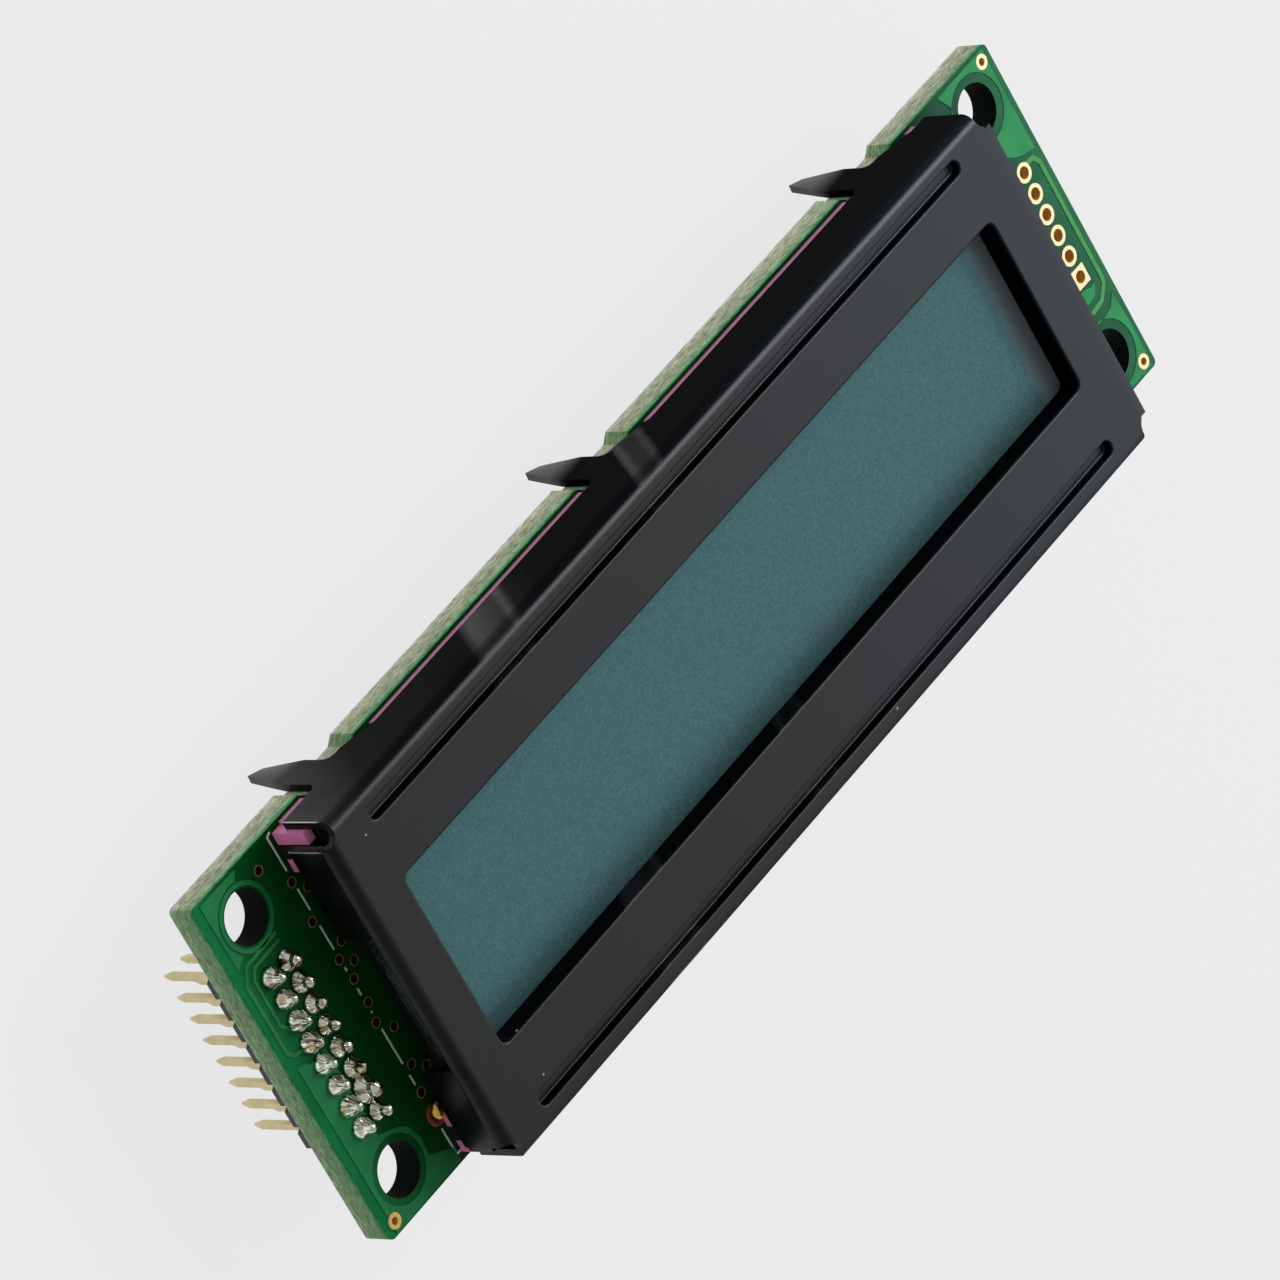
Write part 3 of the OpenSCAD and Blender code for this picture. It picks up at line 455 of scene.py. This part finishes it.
def silicone_strip():
    """Pink silicone rubber pressed between glass and board. The eye sees it dusky along the
    gap under the wall, and bright pink where its ends stand in the corner slots: painted light
    at the ends."""
    material, tree, shader, place = new_surface("pink_silicone_rubber", Roughness=0.4, IOR=1.41)
    spot = node(tree, "SeparateXYZ", [place])
    out = node(tree, "Math", [spot["X"]], operation="ABSOLUTE")[0]
    # Painted light: the ends in the corner slots are painted a brighter pink than along the gap
    lit_ends = node(tree, "MapRange", [out, 26.5 * MM, 27.0 * MM])[0]
    grit = {"Vector": place, "Scale": per_mm(0.15), "Detail": 5.0, "Roughness": 0.65}
    grain = node(tree, "TexNoise", grit)["Fac"]
    dusky = node(tree, "Mix", {0: grain, 6: paint("#c97ea5"), 7: paint("#dd93b9")}, data_type="RGBA")[2]
    bright = node(tree, "Mix", {0: grain, 6: paint("#e071ad"), 7: paint("#f79bd0")}, data_type="RGBA")[2]
    tone = node(tree, "Mix", {0: lit_ends, 6: dusky, 7: bright}, data_type="RGBA")[2]
    # Painted shade: the far strip is painted near black where it stands behind its wall
    behind = node(tree, "MapRange", [spot["Y"], -9.0 * MM, -9.2 * MM])[0]
    above = node(tree, "MapRange", [spot["Z"], 0.4 * MM, 0.6 * MM])[0]
    behind_wall_shade = node(tree, "Math", [behind, above], operation="MULTIPLY")[0]
    tone = node(tree, "Mix", {0: behind_wall_shade, 6: tone, 7: paint("#0d0b0c")}, data_type="RGBA")[2]
    relief = node(tree, "Bump", {"Height": grain, "Strength": 0.4, "Distance": 0.01 * MM})[0]
    feed(tree, shader, Base_Color=tone, Normal=relief)
    return material


def cut_edge():
    """Sheared edge of the steel sheet. The eye sees a thin bright grey line up the slot, which
    the enamel darkens again over the fold."""
    material, tree, shader, place = new_surface("bare_steel_cut_edge", Roughness=0.4, Metallic=1.0)
    spot = node(tree, "SeparateXYZ", [place])
    over = node(tree, "MapRange", [spot["Z"], 2.9 * MM, 3.5 * MM])[0]
    worn = node(tree, "TexNoise", {"Vector": place, "Scale": per_mm(0.5), "Detail": 3.0})["Fac"]
    covered = node(tree, "Math", [over, worn], operation="ADD")[0]
    covered = node(tree, "MapRange", [covered, 0.5, 1.2])[0]
    tone = node(tree, "Mix", {0: covered, 6: paint("#c3c7c7"), 7: paint("#1c1e20")}, data_type="RGBA")[2]
    feed(tree, shader, Base_Color=tone)
    return material


MASK_ON_LAMINATE = laminate()
# The middle colour of each mask is a painted shade of the bezel
MASK_ON_COPPER = solder_mask("solder_mask_on_copper", "#267c49", "#0f5a2c", "#38945c", 3.0)
# Over the traces the mask is lighter and yellower: its own tone with a painted highlight of the traces' lit
# edges
MASK_ON_TRACE = solder_mask("solder_mask_on_trace", "#2c7a40", "#145228", "#52a25c", 1.0)
ENAMEL = black_enamel()
POLARIZER = polarizing_film()
PINK_RUBBER = silicone_strip()
SOLDER = tin_solder()
BARE_STEEL = cut_edge()
GOLD_PAD = plated_bore("gold_flashed_copper", "#fff4c8", "#fdeeba", "#ffcf70", "#a8702c")
# Vias plated with the pads, then flooded with mask: dull red-brown rings and dark bores
VIA_COPPER = plated_bore("mask_browned_copper", "#7a3c22", "#5c2412", "#5a1c0e", "#1c0c04")
# Float glass cut and ground: dark grey-green where its edges show
GLASS = grained("soda_lime_glass", "#22302f", "#1a2625", 2.0, 0.08, 0.002, IOR=1.52)
# Film laid on the back of the cell: a dull blue-grey
REAR_FILM = grained("rear_polarizer_film", "#2c3436", "#242b2d", 0.3, 0.4, 0.004, IOR=1.5)
# Film cast with a white filler: pale grey, slightly uneven
REFLECTOR = grained("white_reflector_film", "#c9cdc8", "#b4b9b4", 0.4, 0.5, 0.004, IOR=1.5)
# Nylon moulded in a spark-eroded tool: near black with a fine satin grain
BLACK_MOULDING = grained("black_moulded_nylon", "#17191b", "#0e1011", 0.25, 0.42, 0.006, IOR=1.53)
# A drop of glue cured in the filling port: wet-looking bottle green
SEAL_GLUE = grained("cured_seal_glue", "#33453f", "#22302c", 0.5, 0.12, 0.03, IOR=1.5)
# Carbon-filled silicone layered between the pink: a dead brownish black
CARBON_RUBBER = grained("carbon_filled_rubber", "#15120f", "#0c0a09", 0.2, 0.6, 0.01, IOR=1.45)
# Drawn brass wire, flash gilt: pale straw with soft drawing marks
PIN_METAL = grained("flash_gilt_brass", "#dccfa2", "#c4b688", 0.6, 0.3, 0.004, Metallic=1.0)
# Etched lands under a thin mask: olive brown
VIA_RING = grained("via_ring_under_mask", "#8c7a3e", "#4c3a1a", 0.25, 0.3, 0.006, IOR=1.5)
# Solder that took up the gold of its land: a warm brassy bead
BEAD_BRASS = grained("gilt_solder_bead", "#ffd880", "#e0a844", 0.3, 0.28, 0.03, Metallic=1.0)
# Copper laid bare and browned by the iron round the bead: brick red
BARE_RING = grained("red_brown_copper_ring", "#8e3a1c", "#6e2812", 0.25, 0.4, 0.01, IOR=1.5)
# Epoxy dropped over a chip and cured: a dark mound with a soft gloss
EPOXY = grained("black_glob_epoxy", "#16181a", "#0f1112", 0.8, 0.3, 0.02, IOR=1.55)
# Resistor film under black glaze: charcoal
CHIP = grained("thick_film_chip", "#26282b", "#1b1d1f", 0.2, 0.35, 0.006, IOR=1.5)
# Fired ceramic: tan and slightly speckled
CAPACITOR = grained("ceramic_capacitor", "#b79a73", "#a3865f", 0.2, 0.4, 0.006, IOR=1.5)
# Screened ink: off-white, tinged by the mask under it
LEGEND_INK = grained("legend_ink", "#c6d6d2", "#b2c4c0", 0.25, 0.5, 0.004, IOR=1.5)

# By the solids' names, without the numbers of those that come in a row
FINISHES = {
    "circuit_board": MASK_ON_LAMINATE, "bezel": ENAMEL, "front_polarizer": POLARIZER,
    "front_glass": GLASS, "rear_glass": GLASS, "rear_polarizer": REAR_FILM,
    "reflector_film": REFLECTOR, "display_frame": BLACK_MOULDING, "cell_end_seal": SEAL_GLUE,
    "contact_rubber_left": PINK_RUBBER, "contact_rubber_right": PINK_RUBBER,
    "contact_core_left": CARBON_RUBBER, "contact_core_right": CARBON_RUBBER,
    "header_housing": BLACK_MOULDING, "header_pin": PIN_METAL, "solder_joint": SOLDER,
    "pad_sleeve": GOLD_PAD, "tooling_sleeves": GOLD_PAD, "via_sleeves": VIA_COPPER,
    "solder_bead": BEAD_BRASS, "driver_cover": EPOXY, "bias_resistors": CHIP,
    "supply_capacitor": CAPACITOR,
}


def dress_solids():
    """Gives each solid of the frame its material."""
    for name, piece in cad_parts.items():
        piece.data.materials.clear()
        piece.data.materials.append(FINISHES[name.rstrip("_0123456789")])


# Solder cones

# Radius and height of the wetted cone in mm, from the plug in the hole to the tip over the
# pin: drawn out evenly, or necked under a last drop
FOOT = [(0.36, -BOARD_THICKNESS), (0.36, -0.03)]
DRAWN = FOOT + [
    (0.54, 0.0), (0.575, 0.07), (0.565, 0.15), (0.525, 0.25), (0.46, 0.36), (0.385, 0.47), (0.32, 0.58),
    (0.275, 0.69), (0.245, 0.79), (0.215, 0.88), (0.15, 0.945), (0.05, 0.98),
]
NECKED = FOOT + [
    (0.53, 0.0), (0.56, 0.06), (0.55, 0.14), (0.5, 0.23), (0.42, 0.32), (0.335, 0.4), (0.28, 0.47),
    (0.262, 0.53), (0.275, 0.6), (0.298, 0.68), (0.298, 0.77), (0.27, 0.85), (0.21, 0.92), (0.12, 0.965),
    (0.04, 0.985),
]


def mark_draw(piece):
    """Writes how the tin was drawn: U is the turn round the pin, V the height in mm."""
    layer = piece.data.uv_layers.new(name="drawn")
    for face in piece.data.polygons:
        spots = [piece.data.vertices[v].co for v in face.vertices]
        turns = [math.atan2(spot.y, spot.x) / (2 * math.pi) for spot in spots]
        if max(turns) - min(turns) > 0.5:
            turns = [turn + 1 if turn < 0 else turn for turn in turns]
        for loop, turn, spot in zip(face.loop_indices, turns, spots):
            layer.data[loop].uv = (turn, spot.z / MM)


def pull_furrows(piece, flutes):
    """Draws furrows down the flank of a cone, deepest on one side of it."""
    for vertex in piece.data.vertices:
        reach = math.hypot(vertex.co.x, vertex.co.y)
        if 0.1 * MM < vertex.co.z < 0.75 * MM and reach > 0.1 * MM:
            turn = math.atan2(vertex.co.y, vertex.co.x)
            ridge = 0.5 + 0.5 * math.cos(flutes * turn)
            pull = 1 - 0.14 * ridge * max(0, 0.3 + 0.7 * math.cos(turn - 0.6))
            vertex.co.x *= pull
            vertex.co.y *= pull


def turned_cone(name, profile, flutes):
    """One cone, drawn up ring by ring, with this many furrows round it."""
    start()
    radius, height = profile[0]
    bpy.ops.mesh.primitive_circle_add(
        vertices=40, radius=radius * MM, fill_type="NGON", location=(0, 0, height * MM), calc_uvs=False,
    )
    piece = bpy.context.object
    piece.name = name
    edit_all()
    for wide, high in profile[1:]:
        rise = {"value": (0, 0, (high - height) * MM)}
        bpy.ops.mesh.extrude_region_move(TRANSFORM_OT_translate=rise)
        bpy.ops.transform.resize(value=(wide / radius, wide / radius, 1), center_override=(0, 0, high * MM))
        radius, height = wide, high
    bpy.ops.object.mode_set(mode="OBJECT")
    bpy.ops.object.transform_apply(location=True)
    if flutes:
        pull_furrows(piece, flutes)
    pick(piece)
    smooth = piece.modifiers.new("smooth", "SUBSURF")
    smooth.levels = smooth.render_levels = 1
    swell(piece, name, 0.42, 0.05)
    bpy.ops.object.modifier_apply(modifier="smooth")
    bpy.ops.object.modifier_apply(modifier="swell")
    clean_mesh(piece, 60)
    mark_draw(piece)
    return piece


def solder_cones():
    """A cone for each pin, each turned and stretched its own way: the outer row drawn out, the
    inner row necked. The last but one of the inner row carries too much solder and stands
    larger, with a drawn-out foot."""
    drawn = [("cone_drawn", 0), ("cone_furrowed", 9), ("cone_ribbed", 13)]
    drawn = [turned_cone(name, DRAWN, flutes) for name, flutes in drawn]
    necked = [turned_cone(name, NECKED, flutes) for name, flutes in [("cone_necked", 0), ("cone_creased", 7)]]
    first_row = (HEADER_ROWS - 1) / 2 * HEADER_PITCH
    for i in range(len(HEADER_COLUMNS) * HEADER_ROWS):
        row, column = divmod(i, len(HEADER_COLUMNS))
        x, y = HEADER_COLUMNS[column], first_row - row * HEADER_PITCH
        kinds = necked if column else drawn
        cone = copy_of(kinds[(row + row // 3) % len(kinds)], f"solder_cone_{i + 1:02d}")
        stout = 1.0 + 0.04 * math.sin(i * 2.3)
        grow = Matrix.Diagonal((stout, stout, 1.0 + 0.03 * math.cos(i * 1.7), 1))
        if (column, row) == (1, HEADER_ROWS - 2):
            grow = Matrix.Diagonal((1.22, 1.42, 1.12, 1))
        cone.data.transform(Matrix.Translation((x * MM, y * MM, 0)) @ grow @ Matrix.Rotation(i * 2.4, 4, "Z"))
        finish_piece(cone, SOLDER)
        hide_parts(f"solder_joint_{i + 1:02d}")
    for master in drawn + necked:
        bpy.data.objects.remove(master)


# Copper under the mask

COPPER_RISE = 0.035  # mm, one-ounce copper with its mask


def copper_under_mask():
    """The etched copper shapes, which show as lighter, slightly raised fields and lines."""
    left_low = [
        (-32.8, 0.2), (-32.3, 0.05), (-32.1, -0.2), (-30.9, -0.2), (-30.9, -5.4), (-29.7, -5.9),
        (-29.2, -6.3), (-28.9, -7.2), (-29.0, -8.2), (-27.6, -8.9), (-27.6, -9.7), (-32.8, -9.7),
    ]
    # The upper left field ends along the clearance of the fixing hole
    sweep = [math.radians(224 - 149 * i / 24) for i in range(25)]
    left_high = [(-32.8, 9.65), (-32.8, 5.9), (-32.05, 6.3)]
    left_high += [(-FIXING_X + 1.76 * math.cos(a), FIXING_Y + 1.76 * math.sin(a)) for a in sweep]
    left_high += [(-30.1, 9.65)]
    right_high = [
        (28.9, 9.6), (32.95, 9.65), (32.95, 3.68), (31.9, 3.95), (31.4, 4.2), (30.9, 4.6), (27.9, 4.9),
        (27.9, 5.6), (29.0, 7.0), (29.4, 8.7),
    ]
    right_pad = [
        (31.42, -3.86), (31.85, -4.05), (32.12, -3.95), (32.13, -4.12), (31.8, -4.52), (31.3, -4.6),
        (27.9, -4.6), (27.9, -3.9),
    ]
    right_low = [
        (32.88, -5.12), (32.3, -5.66), (31.7, -5.78), (27.9, -5.75), (27.9, -9.65), (32.95, -9.65),
        (33.0, -7.0),
    ]
    # Each field with its openings; the last is the ring round the upper left fixing hole
    fields = [
        (left_low, [circle(-FIXING_X, -FIXING_Y, 1.7), circle(-32.62, -9.12, 0.42)]),
        (left_high, []),
        (right_high, [circle(FIXING_X, FIXING_Y, 1.85), circle(TOOLING_X, TOOLING_Y, 0.42)]),
        (right_pad, []),
        (right_low, [circle(FIXING_X, -FIXING_Y, 1.85), circle(TOOLING_X, -TOOLING_Y, 0.42)]),
        (circle(-FIXING_X, FIXING_Y, 1.68, 48), [circle(-FIXING_X, FIXING_Y, 1.45, 48)]),
    ]
    outer_trace = [(-29.9, 5.85), (-32.3, 5.75), (-32.84, 5.0), (-32.84, 1.1), (-32.55, 0.72), (-31.9, 0.6)]
    inner_trace = [(-30.0, 5.45), (-31.95, 5.4), (-32.3, 4.93), (-32.36, 2.3), (-32.0, 1.9), (-31.7, 1.9)]
    pad_trace = [
        (31.9, 3.45), (32.5, 3.4), (32.8, 2.95), (32.78, -4.1), (32.7, -4.4), (32.05, -5.0), (31.25, -5.1),
        (27.9, -5.15),
    ]
    traces = [line_outline(outer_trace, 0.2), line_outline(inner_trace, 0.18), line_outline(pad_trace, 0.25)]
    etched = -0.01, COPPER_RISE
    made = [plate(f"field_{i}", [outline, *gaps], *etched) for i, (outline, gaps) in enumerate(fields)]
    finish_piece(join(made, "copper_fields_under_mask"), MASK_ON_COPPER)
    made = [plate(f"trace_{i}", [outline], *etched) for i, outline in enumerate(traces)]
    finish_piece(join(made, "copper_traces_under_mask"), MASK_ON_TRACE)


# Printed outline


def printed_outline():
    """Legend ink: the dashed line that shows where the bezel stands, broken at the vias."""
    x, width = -27.62, 0.105
    dashes = [
        (6.5, 5.25), (4.33, 2.92), (1.88, 1.64), (0.62, 0.22), (-0.74, -0.84), (-1.79, -3.89), (-4.56, -5.14),
    ]
    lines = [
        [(-27.35, 9.6), (x, 9.49), (x, 7.55)],
        *[[(x, high), (x, low)] for high, low in dashes],
        [(x, -7.78), (x, -9.32), (-27.3, -9.32)],
    ]
    made = [plate(f"dash_{i}", [line_outline(points, width)], -0.005, 0.02) for i, points in enumerate(lines)]
    finish_piece(join(made, "printed_outline"), LEGEND_INK)


# Vias and bead


def ring(name, x, y, middle, thick, flat, high):
    """A low round-edged ring: a torus pressed flat."""
    start()
    bpy.ops.mesh.primitive_torus_add(
        major_radius=middle * MM, minor_radius=thick * MM, major_segments=28, minor_segments=8,
        location=(0, 0, 0),
    )
    piece = bpy.context.object
    piece.name = name
    edit_all()
    bpy.ops.transform.resize(value=(1, 1, flat), center_override=(0, 0, 0))
    bpy.ops.transform.translate(value=(x * MM, y * MM, high * MM))
    bpy.ops.object.mode_set(mode="OBJECT")
    return clean_mesh(piece, 60)


def via_rings():
    """The copper lands round the vias, brown through a thin mask, and the bare one of the bead."""
    made = [ring(f"land_{i}", x, y, 0.25, 0.03, 0.6, 0.01) for i, (x, y) in enumerate(VIAS)]
    finish_piece(join(made, "via_lands"), VIA_RING)
    bead_land = ring("bead_land", BEAD[0] + 0.22, BEAD[1] - 0.12, 0.48, 0.12, 0.3, 0.01)
    finish_piece(bead_land, BARE_RING)


def bead_dome():
    """The bead of solder on the fat via: a lumpy dome run out over its land."""
    start()
    bpy.ops.mesh.primitive_uv_sphere_add(segments=32, ring_count=16, radius=0.47 * MM, location=(0, 0, 0))
    piece = bpy.context.object
    piece.name = "bead_dome"
    edit_all()
    bpy.ops.transform.resize(value=(1, 1, 0.7), center_override=(0, 0, 0))
    bpy.ops.transform.translate(value=((BEAD[0] + 0.3) * MM, (BEAD[1] + 0.06) * MM, 0.22 * MM))
    bpy.ops.object.mode_set(mode="OBJECT")
    swell(piece, "bead", 0.3, 0.08)
    pick(piece)
    bpy.ops.object.modifier_apply(modifier="swell")
    finish_piece(clean_mesh(piece, 60), BEAD_BRASS)
    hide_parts("solder_bead")


# Edges and folds of the bezel


def slot_burrs():
    """The sheet's cut edge round the corner slot by the header, where the enamel drew back and
    left a thin bright line: the slot's outline off a copy of the bezel, made a fine bead that
    stays under the bezel's face."""
    thick, highest = 0.03, BEZEL_FACE - 0.03
    pattern = copy_of(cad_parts["bezel"], "slot_pattern")
    clean_mesh(pattern)
    shape = pattern.data
    beside = {}
    for face in shape.polygons:
        for key in face.edge_keys:
            beside.setdefault(key, []).append(face.normal)
    wire = bpy.data.curves.new("slot_burrs", "CURVE")
    wire.dimensions, wire.use_fill_caps = "3D", True
    wire.bevel_depth, wire.bevel_resolution = thick * MM, 1
    for ends, normals in beside.items():
        corners = [shape.vertices[end].co / MM for end in ends]
        middle = (corners[0] + corners[1]) / 2
        sharp = len(normals) == 2 and normals[0].angle(normals[1]) > math.radians(55)
        at_slot = middle.x < -26.95 and middle.y > 8.7 and middle.z > 0.8
        outside = middle.y > 9.75 or middle.z > 3.6 or middle.x < -27.7
        if sharp and at_slot and outside:
            spline = wire.splines.new("POLY")
            spline.points.add(1)
            for point, corner in zip(spline.points, corners):
                point.co = (corner.x * MM, corner.y * MM, min(corner.z, highest) * MM, 1)
    bpy.data.objects.remove(pattern)
    finish_piece(clean_mesh(as_mesh("slot_burrs", wire), 60), BARE_STEEL)


def crisp_folds():
    """Two folds of the bezel are struck harder than the others: the pad end's is nearly sharp,
    the one along the far side tighter. Each is a sliver that fills the round of the fold."""
    top, foot = BEZEL_FACE, BEZEL_FACE - BEZEL_FOLD
    arc = [math.radians(90 - 10 * i) for i in range(10)]
    # The outline is drawn flat: stood up across the fold, then turned to its side
    stand = Matrix(((1, 0, 0, 0), (0, 0, -1, 0), (0, 1, 0, 0), (0, 0, 0, 1)))
    folds = [("end_fold", BEZEL_END, 0.1, 8.74, 0.0), ("side_fold", BEZEL_SIDE, 0.44, 26.99, -math.pi / 2)]
    made = []
    for name, wall, struck, half, turn in folds:
        round_off = [(wall - struck * (1 - math.cos(a)), top - struck * (1 - math.sin(a))) for a in arc]
        sliver = plate(name, [[(wall - BEZEL_FOLD, top), *round_off, (wall, foot)]], -half, half)
        sliver.data.transform(Matrix.Rotation(turn, 4, "Z") @ stand)
        made.append(clean_mesh(sliver, 40))
    finish_piece(join(made, "crisp_folds"), ENAMEL)


# Floor, world, camera and lamp


def pale_floor():
    """A pale matt floor just under the pins. It shows its written colour with a soft trace of
    shadow, and from below it lets the view through."""
    start()
    bpy.ops.mesh.primitive_circle_add(vertices=64, radius=4.0, fill_type="NGON", location=(0, 0, -7.25 * MM))
    floor = bpy.context.object
    floor.name = "pale_floor"
    material = bpy.data.materials.new("matt_floor_paint")
    material.use_nodes = True
    tree = material.node_tree
    tree.nodes.clear()
    path = node(tree, "LightPath")
    seen = node(tree, "Math", [path["Is Camera Ray"], path["Is Glossy Ray"]], operation="MAXIMUM")[0]
    seen = node(tree, "Math", [seen, path["Is Transmission Ray"]], operation="MAXIMUM")[0]
    matt = node(tree, "BsdfDiffuse", {"Color": paint("#dcdcdc")})[0]
    plain = node(tree, "Emission", {"Color": paint("#eeeeee"), "Strength": 1.0})[0]
    share = node(tree, "Math", [seen, 0.9], operation="MULTIPLY")[0]
    lit = node(tree, "MixShader", [share, matt, plain])[0]
    clear = node(tree, "BsdfTransparent")[0]
    back = node(tree, "NewGeometry")["Backfacing"]
    both = node(tree, "MixShader", [back, lit, clear])[0]
    node(tree, "OutputMaterial", {"Surface": both})
    floor.data.materials.append(material)


# Direction, where the patch starts and is full as a cosine, and its brightness
STUDIO_PATCHES = [
    ((0.86, -0.05, 0.50), 0.80, 0.94, 1.0),
    ((0.55, 0.66, 0.50), 0.90, 0.96, 0.28),
]
STUDIO_CEILING, STUDIO_HORIZON = 0.42, 0.831


def studio_world():
    """Soft studio light as a sky: a low pale band round the horizon and below it, a dim
    ceiling, one wide bright side towards +X, and a softer patch towards +X +Y."""
    world = bpy.data.worlds.new("studio_world")
    scene.world = world
    world.use_nodes = True
    tree = world.node_tree
    tree.nodes.clear()
    way = node(tree, "TexCoord")["Generated"]
    level = STUDIO_CEILING
    for direction, low, high, gain in STUDIO_PATCHES:
        aimed = Vector(direction).normalized()
        toward = node(tree, "VectorMath", [way, aimed], operation="DOT_PRODUCT")["Value"]
        reach = [toward, low, high, 0.0, gain]
        patch = node(tree, "MapRange", reach, interpolation_type="SMOOTHSTEP")[0]
        level = node(tree, "Math", [patch, level], operation="ADD")[0]
    above = node(tree, "MapRange", [node(tree, "SeparateXYZ", [way])["Z"], 0.09, 0.2])[0]
    sky = node(tree, "Mix", {0: above, 2: STUDIO_HORIZON, 3: level})[0]
    background = node(tree, "Background", {"Color": sky})[0]
    node(tree, "OutputWorld", {"Surface": background})


def studio_camera():
    """A long lens from the -X +Y side, 45 degrees up, rolled so that the module stands on end."""
    camera = new_object("camera", bpy.data.cameras.new("camera"))
    camera.data.sensor_width, camera.data.lens = 36.0, 291.34
    camera.data.clip_start, camera.data.clip_end = 0.05, 20.0
    right = Vector((0.5545511, -0.4509496, 0.6993694))
    upward = Vector((0.6206415, 0.7839803, 0.0133809))
    back = Vector((-0.5543259, 0.4266373, 0.7146352))
    stand = Matrix.Translation(Vector((-273.203, 209.421, 347.860)) * MM)
    camera.matrix_world = stand @ Matrix((right, upward, back)).transposed().to_4x4()
    scene.camera = camera


def key_lamp():
    """A round softbox over the pad end, which gives the gold and the solder their glints."""
    lamp = new_object("key_softbox", bpy.data.lights.new("key_softbox", "AREA"))
    toward = Vector((0.70, 0.20, 0.68)).normalized()
    lamp.data.shape, lamp.data.size, lamp.data.energy = "DISK", 0.24, 0.7
    lamp.location = toward * 0.35
    lamp.rotation_mode = "QUATERNION"
    lamp.rotation_quaternion = toward.to_track_quat("Z", "Y")


dress_solids()
solder_cones()
copper_under_mask()
printed_outline()
via_rings()
bead_dome()
slot_burrs()
crisp_folds()
pale_floor()
studio_world()
studio_camera()
key_lamp()
scene.view_settings.view_transform = "Standard"
